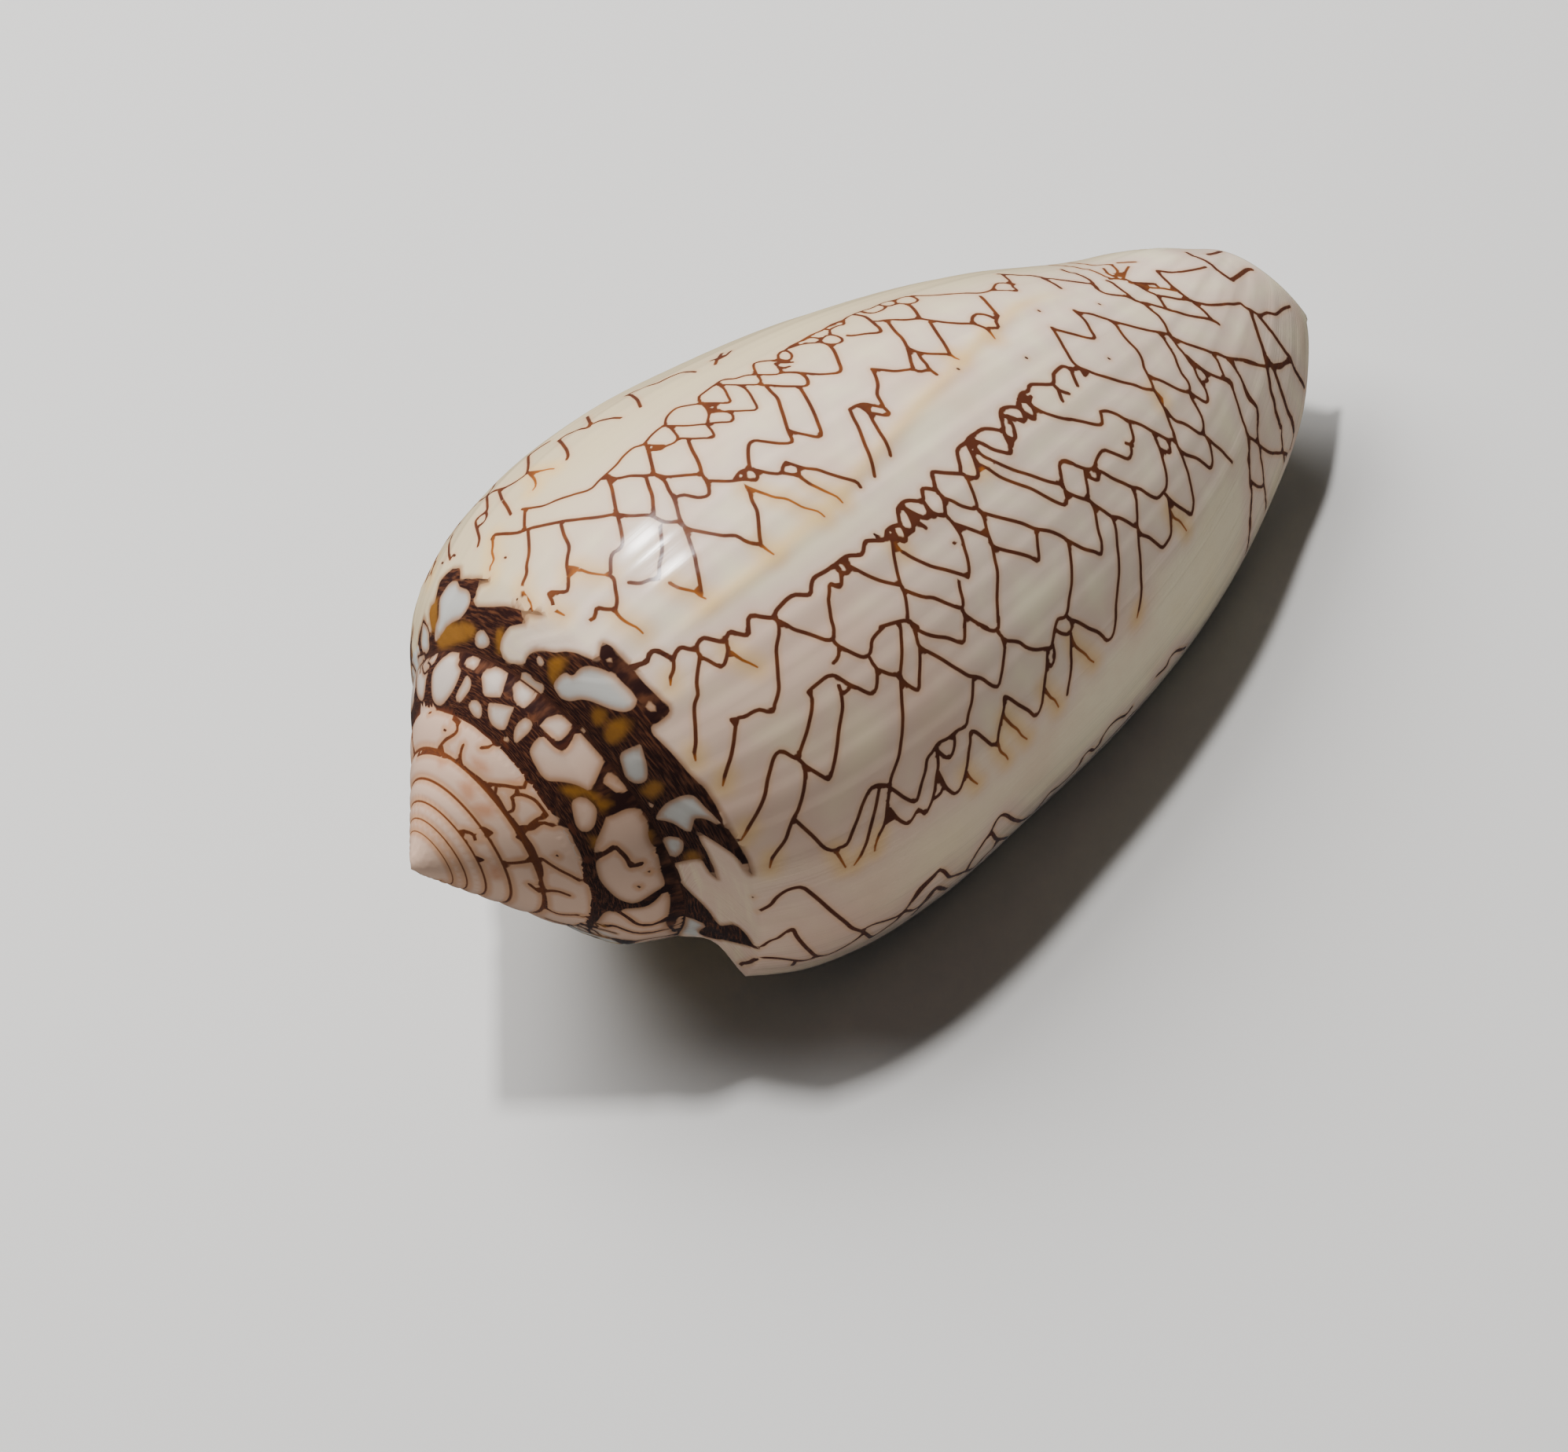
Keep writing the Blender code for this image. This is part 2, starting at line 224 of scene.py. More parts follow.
# Texture places of the pieces: left, low, width and height
CHART_BODY = (0.01, 0.01, 0.98, 0.56)
CHART_BODY_START = 1.14 * TURN
CHART_BODY_SPAN = 1.16 * TURN
CHART_SPIRE_MIDDLE = (0.22, 0.80)
CHART_SPIRE_SCALE = 7.5
CHART_WALL = (0.45, 0.60, 0.26, 0.38)
CHART_INNER = (0.73, 0.60, 0.26, 0.38)
CHART_SEAM_INNER = (0.45, 0.986, 0.54, 0.0)
CHART_SEAM_WALL = (0.45, 0.994, 0.54, 0.0)
CHART_LIP = (0.02, 0.575, 0.40, 0.012)
CHART_RIM = (0.02, 0.592, 0.40, 0.006)
CHART_FRONT = (0.31, 0.60, 0.10, 0.10)
CHART_FRONT_REACH = 0.010

# Drawing: how the strokes are laid on the shell; lengths in mm, angles in radians, moves in pixels
CAST_WHORLS = 5
PICTURE_MIDDLE = (1010.0, 760.0)
MOVES_INWARD = 10
MOVE_INWARD = 2.5
JUMP = 1.0
CURVE_PARTS = 4
LINE_SPACING = 0.30
LINE_MERGE = 0.14 * MM
BODY_SHIFTS = np.radians((0.0, -148.0, -296.0))
SPIRE_SHIFTS = np.radians((0.0, -180.0))
FIRST_SHIFTS = np.radians((0.0, -148.0, -296.0, -47.0))
FAR_SIDE_FROM = np.radians(-178.0)
REACH = 3.0
LOOP_REACH = 1.5
BAND_REACH = 4.0
FAR = 9.0
# Lines in the order they are drawn: turns of their copies, width in mm, and tone, which runs
# from black at -1 through brown at 0 to orange at 1
LINE_STYLES = {
    "front_thin": (FIRST_SHIFTS, 0.22, 0.20),
    "first_field": (FIRST_SHIFTS, 0.29, 0.20),
    "front": (BODY_SHIFTS, 0.32, 0.05),
    "field": (BODY_SHIFTS, 0.28, 0.15),
    "ends": (BODY_SHIFTS, 0.28, 0.45),
    "tip": (BODY_SHIFTS, 0.40, 0.15),
    "right": (BODY_SHIFTS, 0.26, 0.20),
    "tip_small": (BODY_SHIFTS, 0.24, 0.40),
    "band_lines": (BODY_SHIFTS, 0.36, -0.50),
    "spire_lines": (SPIRE_SHIFTS, 0.26, 0.25),
    "sutures": ((0.0,), 0.20, 0.15),
    "pits": ((0.0,), 0.20, -0.60),
}
BLACK_TONE = -1.0
# Width and tone of the line ends at their last point
END_WIDTH = 0.14
END_TONE = 1.0
# Shoulder band: its depth, and how its cells, their dark border and the shade painted in them spread
BAND_DEPTH = 1.0
BAND_MARGIN = 0.3
CELL_SPREAD = 0.05
CELL_BORDER = 0.09
CELL_PAINTED_SHADE = 0.40
CELL_PAINTED_SHADE_REACH = 1.1
CELL_PAINTED_SHADE_FROM = -0.5
GOLD_SOFTNESS = 0.6
STAIN_SOFTNESS = 0.9
# Where the dark ground of the band ends on the spire, in turns, and how it fades there
WEB_END = 1.75
WEB_SPAN = 0.22 * TURN
WEB_FADE = 3.0
# Colour of the spire and of the ramp: growth, level and mm over which they come in
FLESH_SPAN = 0.3
FLESH_BELOW = 0.2
RAMP_SPAN = 0.15
RAMP_CELL_SPAN = 0.3
# Sutures: turns that are lined, turns that are strokes, share of the radius, points and tone
SUTURE_WHORLS = 7
SUTURE_STROKES = 2
SUTURE_SHARE = 0.019
SUTURE_TONE = 0.3
SUTURE_FROM = -0.9 * TURN
INNER_SUTURE_POINTS = 900
WHOLE_SUTURE_POINTS = 1200
LAST_SUTURE_SHARE = 0.006
LAST_SUTURE_BELOW = 0.1
LAST_SUTURE_POINTS = 340

# Ridge along the second pale stripe: growth angle in degrees and level
RIDGE = ((-99.5, 0.05), (-99.5, 0.16), (-101.0, 0.28), (-106.5, 0.42), (-110.5, 0.52), (-118.0, 0.66))
RIDGE_WIDTH = 0.7
RIDGE_RISE = 0.10 * MM
RIDGE_FADE_IN = 0.06
RIDGE_FADE_OUT = 0.12
RIDGE_PAST_END = 0.1
# Growth waves: how many to a turn, how high in mm, and where in their cycle they start
GROWTH_WAVES = ((23.0, 0.030, 0.4), (41.0, 0.022, 2.1), (67.0, 0.014, 4.0), (109.0, 0.008, 1.3))
WAVE_FADE_SUTURE = 0.1
WAVE_FADE_FRONT = 0.05
WAVE_FADE_LIP = 0.05
WAVE_FADE_WHORL = 0.2
# The blunt tip: how far out it reaches, and how steep the spire is there
TIP_WEAR = 0.9 * MM
TIP_SLOPE = 0.83
TIP_FROM = -3.0 * TURN
# Bulge of the spire's whorls, as a share of their radius, and the growth it comes in over
WHORL_BULGE = 0.022
BULGE_FADE = 0.5

# Small dark pits, as pixels of the picture
PITS = (
    (577, 706), (562, 716), (642, 709), (1112, 680), (1213, 691), (566, 931), (612, 1093), (658, 1065),
    (707, 1088), (658, 763), (829, 1107), (838, 1082), (958, 1142), (1398, 387), (1321, 395), (1410, 456),
    (1305, 455), (817, 1126), (1218, 470), (837, 1084),
)

# Strokes read from the picture, as pairs of its pixels
# Lines on the far left, before the first front
EDGE_FIELD = (
    "699,562 690,568 678,577 673,581 672,590 671,599 668,605 660,610 650,616 640,621 630,625 622,630 "
    "602,645",
    "630,616 626,622 621,629 620,640 619,650 611,656 605,663 607,674 610,685 608,695",
    "635,625 639,636 645,645 650,655",
    "618,650 619,657 615,665 610,668",
    "573,680 572,690 571,700 573,712",
    "711,560 717,567 721,573 723,580 721,585",
)
EDGE_FAR = (
    "885,474 868,474 850,481 836,488 820,493 806,498 796,503",
    "800,502 810,508 815,518",
    "747,530 751,542 737,547 722,552 710,560",
    "751,541 765,535 790,532",
    "930,447 921,455 905,459",
    "910,464 918,450",
)
EDGE_ENDS = (
    "673,602 690,599 705,597",
    "674,603 680,610 682,618 678,624",
    "549,715 550,725 548,735",
)
# Small cells of the first front, and the lines and fading ends of the field after it
FIRST_FRONT = (
    "664,648 680,645 696,642 714,635 732,629 751,623 762,612 772,603 784,592 793,581 806,570 818,566 "
    "828,555 837,547 846,541",
    "822,567 834,567 846,567 841,572 830,573 825,573",
    "846,541 848,532 855,524 863,519 877,516 891,513 889,506 896,500 910,490 920,484 936,482 949,478 "
    "963,477",
    "848,542 870,542 898,540",
    "850,542 858,550 862,556 860,562 850,567 842,569",
    "863,558 880,558 893,557 908,556 906,548 900,540 902,528 899,520 892,513",
    "902,539 916,537 930,536 933,531 929,525 916,524 904,525",
    "906,523 930,523 947,522 963,520 958,508 950,496 941,491",
    "894,513 914,513 929,512 926,504 922,496 916,491",
    "900,516 912,517 906,521 916,522",
    "912,490 932,490 950,490 965,489 968,484 963,477 959,464 972,460 989,458 990,452",
    "965,477 980,477 993,475 992,469 986,463",
    "990,452 994,448 1001,447 1007,451 1007,456 1001,459 991,457 990,452",
    "987,462 1000,462 1009,461",
    "990,468 998,468 1005,466",
    "1000,446 1006,441 1020,434 1032,427 1046,421 1059,413 1073,408 1078,404 1086,400 1096,396 1108,393 "
    "1118,388",
    "1006,443 1018,439 1030,437 1044,436",
    "1022,434 1031,430 1042,431 1044,433 1052,427 1062,427 1071,431 1071,435 1061,438 1048,437 1044,433",
    "1073,408 1074,413 1066,415 1056,420 1057,426",
    "1096,397 1108,399 1120,396 1127,391 1118,388 1128,384 1137,383 1140,387 1130,390 1120,389",
    "1137,384 1148,379 1160,378 1168,382 1162,386 1150,387 1140,386",
    "1160,377 1190,376 1210,374 1234,373 1250,372 1262,368 1268,361 1280,360 1291,361",
    "1262,369 1275,369 1294,371 1289,365 1286,359 1281,354 1274,349",
)
FIRST_FIELD = (
    "668,648 667,660 667,675",
    "626,686 630,681 645,679 660,677 675,673 700,667 720,663 745,660 765,657 783,654 800,657 826,656 "
    "836,660 845,664 863,664",
    "672,676 673,690 673,705 670,720 670,730 665,742",
    "714,668 718,682 724,695 722,708 721,720 723,732 722,752 710,754 698,755 703,766 704,775",
    "772,606 778,620 781,635 784,650 788,665 791,680 792,692 788,699 780,704 777,712 777,728",
    "776,732 781,737 783,750 785,762 783,774 770,775 759,774 757,785 751,789",
    "772,606 784,609 800,606 820,605 833,603 850,607 875,605 893,604",
    "822,565 826,578 829,590 832,602",
    "822,607 826,620 830,632 831,645 832,652",
    "838,606 846,613 851,624 857,634 861,645 865,660 873,676 880,696 884,709 886,720 889,735 892,752",
    "840,672 842,690 842,705 839,718 838,736 828,737 815,742 800,741",
    "876,561 880,571 887,585 891,595 893,604 898,611 902,621 901,630 888,633 870,630 860,633",
    "900,612 915,612 932,612 947,610 962,611 963,602 953,597 942,600 935,609",
    "947,600 947,611",
    "993,474 1010,474 1030,475 1048,476 1066,475 1070,470 1067,460 1062,448 1056,440 1052,438",
    "970,490 990,491 1010,491 1026,491 1028,485 1025,479 1019,475",
    "973,490 981,498 989,506 993,518 997,530 1000,540 1003,549 1008,562 994,564 972,562 960,561 953,566 "
    "952,580 954,596",
    "1018,494 1026,507 1035,524 1041,539 1045,553 1038,556 1020,552 1003,548",
    "954,596 965,599 980,602 994,602 996,594 1000,588",
    "1000,588 1012,592 1025,596 1040,598 1054,603 1066,607 1080,611 1090,614 1095,620",
    "998,602 1013,605 1020,609 1030,616",
    "1016,594 1017,606",
    "953,622 957,637 963,650 965,665 966,680 968,692",
    "866,667 876,673 890,676 905,679 920,682 936,682 948,689 958,692 968,693",
    "1078,427 1086,427 1100,425 1118,423 1120,419 1110,410 1100,403 1086,401",
    "1118,409 1130,407 1150,407 1171,405 1190,409 1205,411 1220,412 1238,412 1250,416 1258,422",
    "1128,408 1138,420 1150,434 1156,448 1159,460 1162,468",
    "1152,387 1159,390 1164,395 1170,404",
    "1183,410 1192,424 1202,438 1208,450",
    "1155,443 1168,448 1184,450 1207,451",
    "1168,449 1173,457 1179,464 1182,469 1192,477",
    "1109,470 1125,471 1140,472 1160,470 1170,473 1182,470",
    "1111,472 1115,481 1117,490 1116,502 1121,511 1124,517",
    "1124,518 1131,525 1129,529 1118,527 1107,525",
    "1081,521 1090,516 1100,514 1112,516 1124,518",
    "1081,521 1086,532 1092,543 1097,557 1101,568 1106,581 1110,593 1113,606",
    "1095,518 1105,525 1111,536 1117,547 1125,561 1131,573 1133,580",
    "1105,515 1106,524",
    "1238,412 1237,405 1243,400 1255,401 1263,404 1270,402",
    "1248,377 1254,384 1261,392 1269,402 1267,410 1270,418 1258,418",
)
FIRST_ENDS = (
    "627,684 627,695 626,703 628,712 623,722 625,732",
    "665,742 664,750 668,757 675,767 677,777",
    "704,776 712,780 718,783",
    "724,722 735,724 748,729 762,731 775,732",
    "724,734 735,726",
    "783,778 790,787 800,794 810,799 818,806",
    "1030,616 1042,622 1055,628 1065,633 1072,640",
    "950,620 964,625 975,629 985,633 1000,635 1010,640 1022,646 1040,651 1049,658",
    "968,693 975,699 984,706",
    "1208,450 1214,455 1220,458",
    "1258,422 1266,431",
)
# The second front and its field, upper half of the picture
SECOND_FRONT = (
    "1060,722 1066,716 1075,709 1082,707 1096,706 1099,697 1101,689 1112,688 1126,687 1128,676 1136,670 "
    "1145,668",
    "1145,668 1143,656 1142,648 1148,640 1156,637 1174,637 1173,623 1182,622 1190,623 1188,612 1186,601 "
    "1203,602 1222,603",
    "1222,603 1222,595 1219,582 1218,573 1223,567 1229,563 1233,557 1242,551 1250,546 1262,546 1277,549",
    "1277,549 1276,540 1273,530 1274,521 1282,518 1291,518 1298,519 1297,508 1302,500",
    "1146,669 1151,675 1160,677 1162,671 1157,656 1150,647",
    "1151,647 1160,652 1170,657 1178,660 1182,656 1178,644 1174,637",
    "1162,662 1171,667 1178,672",
    "1129,678 1136,688 1140,684",
    "1137,678 1144,687 1152,689 1152,681 1149,672",
    "1066,722 1072,729 1080,728 1076,716",
    "1067,723 1070,731 1070,740 1068,747 1060,745",
    "1176,640 1184,651 1192,655 1202,656 1202,648 1200,636 1192,624",
    "1180,656 1188,658",
    "1226,604 1235,608 1243,608 1244,600 1240,586 1235,574 1231,565",
    "1232,560 1238,562 1241,567 1241,574 1237,576 1233,571 1231,565",
    "1240,561 1251,565 1261,571 1273,575 1286,577 1284,566 1278,554",
    "1278,552 1284,558 1291,558 1292,554 1289,543 1285,535 1280,530",
    "1284,559 1288,563 1287,567",
    "1281,529 1292,533 1303,537 1303,530 1299,520",
    "1300,521 1307,529 1316,532 1316,523 1309,514 1302,508",
    "1302,503 1307,508 1311,507",
)
SECOND_FIELD = (
    "1135,690 1137,705 1140,719 1145,741 1151,756 1154,776 1155,790",
    "1150,703 1160,709 1172,715 1186,721 1202,725 1219,730 1232,734",
    "1075,717 1089,725 1105,733 1124,740 1146,745",
    "1149,750 1163,756 1176,760 1188,761 1207,769 1223,774 1225,766 1222,752 1220,741",
    "1193,625 1199,633 1212,638 1224,644 1243,647 1240,632 1234,618 1229,606",
    "1241,568 1245,575 1252,581 1270,590 1290,598 1306,603 1320,608 1334,613 1348,616",
    "1244,590 1257,597 1271,606 1285,612 1298,617 1312,622 1330,632 1346,640 1356,642 1357,628 1352,618 "
    "1350,605 1348,590 1355,586 1365,590",
    "1312,516 1320,521 1330,526 1345,531 1360,534",
    "1204,656 1213,666 1219,675 1224,685 1227,698 1231,712 1233,726 1232,735",
    "1214,666 1228,671 1244,677 1258,683",
    "1217,672 1224,673",
    "1245,648 1252,659 1256,677 1262,694 1266,713 1269,731 1269,760 1270,790",
    "1249,652 1262,656 1277,660 1300,666 1317,673 1335,676 1350,682 1359,688",
    "1318,674 1320,693 1322,714 1311,709 1298,705 1277,700 1265,696 1259,690",
    "1224,775 1228,786 1227,798",
    "1230,784 1242,792 1256,799",
    "1120,798 1140,792 1154,790 1168,798",
)
SECOND_ENDS = (
    "1138,691 1143,698 1150,703",
    "1244,600 1250,598",
)
# Lines towards the front end
FAR_FIELD = (
    "1270,349 1290,350 1316,351 1338,355 1360,358 1388,361 1396,366",
    "1324,352 1332,357 1340,361 1350,367",
    "1350,343 1364,347 1380,353 1389,358 1393,365 1400,370 1408,374 1420,376 1434,378 1450,384 1457,388 "
    "1464,394 1474,402 1480,410 1485,419 1489,427 1500,434",
    "1408,357 1416,360 1424,367 1436,376 1444,382",
    "1450,384 1460,386 1470,389 1480,392 1488,395 1500,398 1516,402 1532,405 1544,408 1551,413",
    "1432,355 1446,363 1460,370 1472,376 1477,382 1482,390 1486,394",
    "1444,360 1456,361 1470,361",
    "1472,376 1486,378 1500,381 1512,382 1524,385 1537,388 1550,388 1560,387 1570,387 1579,386 1584,391 "
    "1592,395 1603,401 1613,398 1623,400 1633,393 1641,390",
    "1472,345 1485,346 1500,346 1515,344 1526,342 1534,340",
    "1473,347 1480,353 1490,363 1500,371 1508,378 1516,383 1524,389 1532,396 1539,404 1543,408",
    "1366,395 1374,398 1388,400 1402,404 1410,406 1420,410 1432,413 1450,418 1468,422 1480,424 1488,426 "
    "1496,431 1508,437 1520,441 1532,445 1542,449 1550,450 1560,455 1570,457 1582,458 1590,460 1598,463",
    "1366,395 1374,402 1382,410 1388,420 1393,430 1384,430 1370,426 1356,423 1344,420 1338,417",
    "1338,417 1344,426 1350,435 1355,444 1360,453 1366,462 1374,468 1384,472 1396,477 1410,481 1428,486 "
    "1444,490 1456,495 1467,496",
    "1410,406 1420,414 1427,424 1434,433 1442,441 1450,451 1454,459 1456,468 1461,478 1465,487 1468,496",
    "1468,496 1472,503 1477,512 1482,522 1486,532 1490,542 1494,552 1496,560 1498,568 1502,577 1506,586 "
    "1510,597 1514,612 1517,626 1519,640 1516,655 1508,650 1500,645 1492,639 1485,632",
    "1474,424 1482,432 1488,442 1494,452 1498,464 1504,476 1510,484 1514,493 1514,500 1518,510 1524,520 "
    "1529,532 1531,544 1528,552 1520,548 1512,542 1504,538 1497,536 1490,530 1484,522",
    "1462,478 1470,482 1478,485 1490,491 1502,497 1514,500 1524,506 1534,512 1537,508 1535,498 1531,490 "
    "1526,483 1522,476 1519,468 1513,460 1506,450 1500,443 1494,434 1489,427",
    "1519,462 1528,470 1534,476 1537,484 1532,486",
    "1510,453 1520,462 1530,470 1542,477 1554,482 1564,487 1568,494 1571,503 1575,514 1579,528 1584,544 "
    "1588,560 1590,582 1590,600 1592,620 1592,646 1591,670 1588,690 1585,704",
    "1542,450 1549,458 1553,468 1557,479",
    "1565,456 1571,467 1577,478 1582,488 1587,499 1593,509 1599,519 1601,530 1600,546",
    "1502,574 1510,579 1522,583 1532,590 1540,596 1543,590 1542,578 1539,566 1534,555 1529,551",
    "1534,555 1544,565 1554,573 1561,581 1567,588",
    "1400,524 1408,523 1420,527 1432,534 1450,540 1464,548 1476,554 1488,560 1495,558",
    "1400,524 1402,532 1402,540 1392,540 1376,536 1360,533",
    "1436,536 1440,548 1442,560 1438,566 1440,575 1436,584 1424,580 1412,575 1404,573 1398,579 1394,588 "
    "1391,596 1382,597 1370,593 1356,588 1350,588 1348,598 1351,612 1354,622 1357,634 1357,642",
    "1432,564 1441,567",
    "1468,553 1472,562 1477,572 1482,574 1489,576 1488,566 1485,560",
    "1392,596 1404,602 1416,609 1430,615 1440,620 1450,622 1460,629 1472,634 1480,627 1484,620 1484,607 "
    "1481,592 1478,578 1474,566 1470,556",
    "1380,598 1386,607 1397,611 1398,600",
    "1380,598 1382,612 1384,626 1383,635 1372,633 1360,628",
    "1383,635 1392,642 1404,650 1414,657 1424,659 1434,664 1445,670 1447,662 1446,648 1445,634 1441,621",
    "1387,637 1393,648 1395,660 1398,678 1401,690 1401,705 1392,702 1380,699 1370,694 1359,688",
    "1415,658 1419,672 1421,688 1423,708 1424,728 1422,752 1420,774 1418,796 1415,810 1408,815 1402,809 "
    "1396,804 1386,800 1372,792 1360,788",
    "1447,666 1449,692 1451,710 1452,740 1451,760 1449,776",
    "1448,673 1452,680 1462,684 1472,692 1479,697 1484,692 1490,681 1490,666 1488,646 1486,634",
    "1359,689 1362,705 1363,725 1363,745 1360,765 1358,778 1354,786 1346,788 1342,800 1340,814 1338,823 "
    "1332,826",
)
FAR_ENDS = (
    "1488,648 1494,659 1502,664 1509,675",
    "1449,776 1447,786",
    "1468,497 1475,503 1480,509 1477,513",
)
# The second front towards the front end and towards the shoulder
SECOND_FRONT_ON = (
    "1295,517 1296,508 1300,500 1308,498 1310,490 1320,489 1338,489 1341,483 1340,477 1346,470 1353,466 "
    "1364,470 1370,468 1378,470",
    "1306,507 1312,505",
    "1340,489 1346,496 1349,504 1352,511",
    "1346,496 1353,499 1360,501",
    "1363,471 1366,480 1371,491",
    "1375,470 1380,478",
    "1310,513 1315,521 1317,533 1310,532 1304,525",
)
SECOND_FRONT_DOWN = (
    "840,829 850,836 857,838 859,832 866,824 876,826 885,826 888,818 895,812 906,814 920,817 924,812 "
    "926,807 930,804 940,807 952,808 952,798 952,788 957,783 968,785 984,786 987,778 994,770 1002,762 "
    "1012,757 1030,757 1032,746 1035,736 1043,731 1052,726 1060,720",
)
SECOND_FIELD_DOWN = (
    "1066,722 1070,734 1069,747 1056,743 1055,754 1054,764 1056,776 1058,788 1061,800 1060,812 1054,815 "
    "1046,813 1036,809 1024,805 1010,801 1000,795 990,790 984,786",
    "1060,814 1065,821 1072,825 1084,831 1096,836 1104,835 1108,828 1109,816 1114,808 1120,802",
    "1067,823 1067,833 1064,840 1060,844",
    "990,790 991,806 988,824 989,840 990,860 991,874 989,886 985,898 984,905 976,906 968,903 958,906 "
    "948,912 938,915 935,930 933,948 930,962 926,974 922,988",
    "938,915 930,916",
    "887,828 890,836 888,852 886,870 888,884 884,896 884,912 885,930 885,946 883,958",
    "890,836 900,840 910,846 917,849 922,844 925,834 926,826 924,817",
    "857,840 857,852 853,862",
    "1110,844 1115,852 1116,864 1115,876 1110,883 1102,881 1092,876 1082,872 1074,867 1062,860 1052,861 "
    "1044,867 1034,875 1028,881",
    "1028,881 1033,888 1033,900 1030,916 1027,930 1022,946 1018,958 1017,966 1008,963 998,957 991,957 "
    "985,964 981,978 977,992 974,1008 968,1024 960,1040 952,1054",
    "1116,852 1124,855 1132,858 1146,860",
    "1017,966 1024,974 1036,982 1046,988 1054,992 1057,986 1061,970 1065,952 1067,934 1070,916 1072,900 "
    "1070,884 1067,872",
    "1070,881 1077,880 1082,873",
    "1024,975 1024,990 1021,1012 1016,1030 1009,1042 1004,1056 999,1070 990,1082 983,1092",
    "1010,1042 1022,1053 1032,1062 1040,1070 1049,1079 1060,1082 1068,1078 1076,1075 1084,1060 1091,1044 "
    "1097,1026 1104,1010 1110,1002 1120,999 1132,1001",
    "1156,791 1164,799 1176,806 1190,810 1206,812 1222,818 1227,816 1228,802 1228,788",
    "1271,787 1270,800 1264,803 1254,800 1244,794",
    "1267,802 1274,810 1279,815 1290,816 1298,818 1306,824 1318,827 1332,825",
    "1274,810 1278,824 1277,840 1274,858 1271,872 1266,874 1258,870 1250,864 1240,861 1232,860 1222,854 "
    "1212,848 1200,840 1186,832 1174,826 1168,820 1165,808 1162,798",
    "1170,824 1171,844 1170,862 1169,878 1160,875 1152,869 1146,860 1147,840 1147,820 1146,800",
    "1146,860 1147,880 1148,900 1148,920 1147,940 1144,960 1139,976 1134,990 1132,1002",
    "1238,861 1238,876 1236,894 1232,910 1229,924 1218,930 1206,940 1194,946 1186,958 1180,966 1178,980 "
    "1174,994 1169,1010 1164,1020 1152,1016 1142,1009 1132,1002",
    "1214,935 1215,948 1211,962 1206,965 1198,960 1190,952",
    "1193,958 1194,976 1191,992 1188,1008 1185,1020 1180,1032 1177,1036 1168,1030 1162,1040 1156,1048 "
    "1148,1046 1140,1040 1133,1030",
    "1195,985 1202,1000 1210,1008 1216,1010 1222,1004 1226,992 1229,978 1232,960 1235,945 1235,932 "
    "1242,932 1252,940 1262,948 1268,944 1270,932 1275,914 1278,900 1278,887 1286,890 1296,897 1308,904 "
    "1316,911 1321,908 1325,896 1327,880 1330,864 1332,850 1333,828",
    "1340,822 1342,832 1341,842 1337,849 1333,843",
    "1344,802 1350,806 1360,807 1364,798 1362,789 1356,784",
    "1363,808 1363,830 1362,852 1360,870 1358,884",
    "1119,1003 1116,1020 1112,1038 1106,1056 1102,1072 1096,1088",
    "1132,1004 1130,1020 1128,1036 1124,1050 1118,1062",
    "1126,1047 1138,1040",
    "1200,998 1196,1010 1188,1016",
)
SECOND_ENDS_DOWN = (
    "926,827 934,833 944,840 954,844 964,849",
    "922,988 920,1000",
    "883,958 885,968",
    "952,1054 943,1069",
    "983,1092 979,1104",
    "1062,1082 1070,1094 1076,1104",
    "1096,1088 1087,1101",
    "1118,1062 1115,1072 1113,1083",
    "1269,945 1273,956 1280,962 1283,967",
    "1278,913 1286,922 1294,928 1300,936 1307,941",
    "1328,876 1336,887 1342,891 1347,900",
    "1228,982 1236,992 1244,998",
    "1364,814 1370,824 1380,832 1386,839 1392,843",
    "852,742 862,748 874,751 884,753 890,758 898,762",
    "853,862 853,872",
)
# The third front, along the lower right of the picture
THIRD_FRONT = (
    "965,1160 980,1152 988,1143 1000,1134 1012,1130 1022,1130 1032,1137 1044,1147 1054,1156 1066,1166 "
    "1076,1174 1084,1181 1098,1186 1108,1193",
    "1100,1182 1112,1176 1130,1171 1142,1166 1152,1158 1160,1146 1170,1132 1184,1118 1195,1107",
    "1110,1192 1122,1184 1136,1174 1152,1160 1164,1157 1178,1144 1190,1130 1200,1130",
    "958,1205 970,1205 980,1198 990,1194 1000,1186 1008,1182 1014,1192 1022,1202 1030,1210 1038,1216 "
    "1052,1215 1068,1208 1082,1200 1096,1190",
    "942,1228 954,1224 964,1220 980,1219 996,1220 1012,1222 1024,1222 1038,1218",
    "1012,1222 1008,1229",
)
# Lines and marks at the front end
TIP_SMALL = (
    "1415,338 1422,345 1419,352 1428,355 1432,346 1436,339",
    "1335,338 1360,339 1380,342 1405,351 1415,355",
    "1360,335 1390,337 1415,337",
    "1422,335 1445,333",
    "1437,360 1460,365 1480,367 1495,370",
    "1419,352 1410,348 1404,342",
)
TIP_LINES = (
    "1510,322 1520,326 1532,331 1541,337 1550,344 1560,352 1568,357",
    "1537,324 1547,322 1553,320",
    "1568,356 1577,350 1587,343 1593,343",
    "1590,395 1594,405 1598,417 1602,429 1607,443 1610,457 1612,470 1615,483 1617,497 1621,510 1624,527 "
    "1629,543",
    "1602,403 1610,412 1618,423 1627,435 1635,447 1641,455 1645,465 1650,475 1655,484 1660,493",
    "1613,457 1618,465 1628,467 1635,462 1642,458",
    "1618,465 1622,473 1626,485 1630,497 1634,511 1639,524 1643,534 1646,550",
)
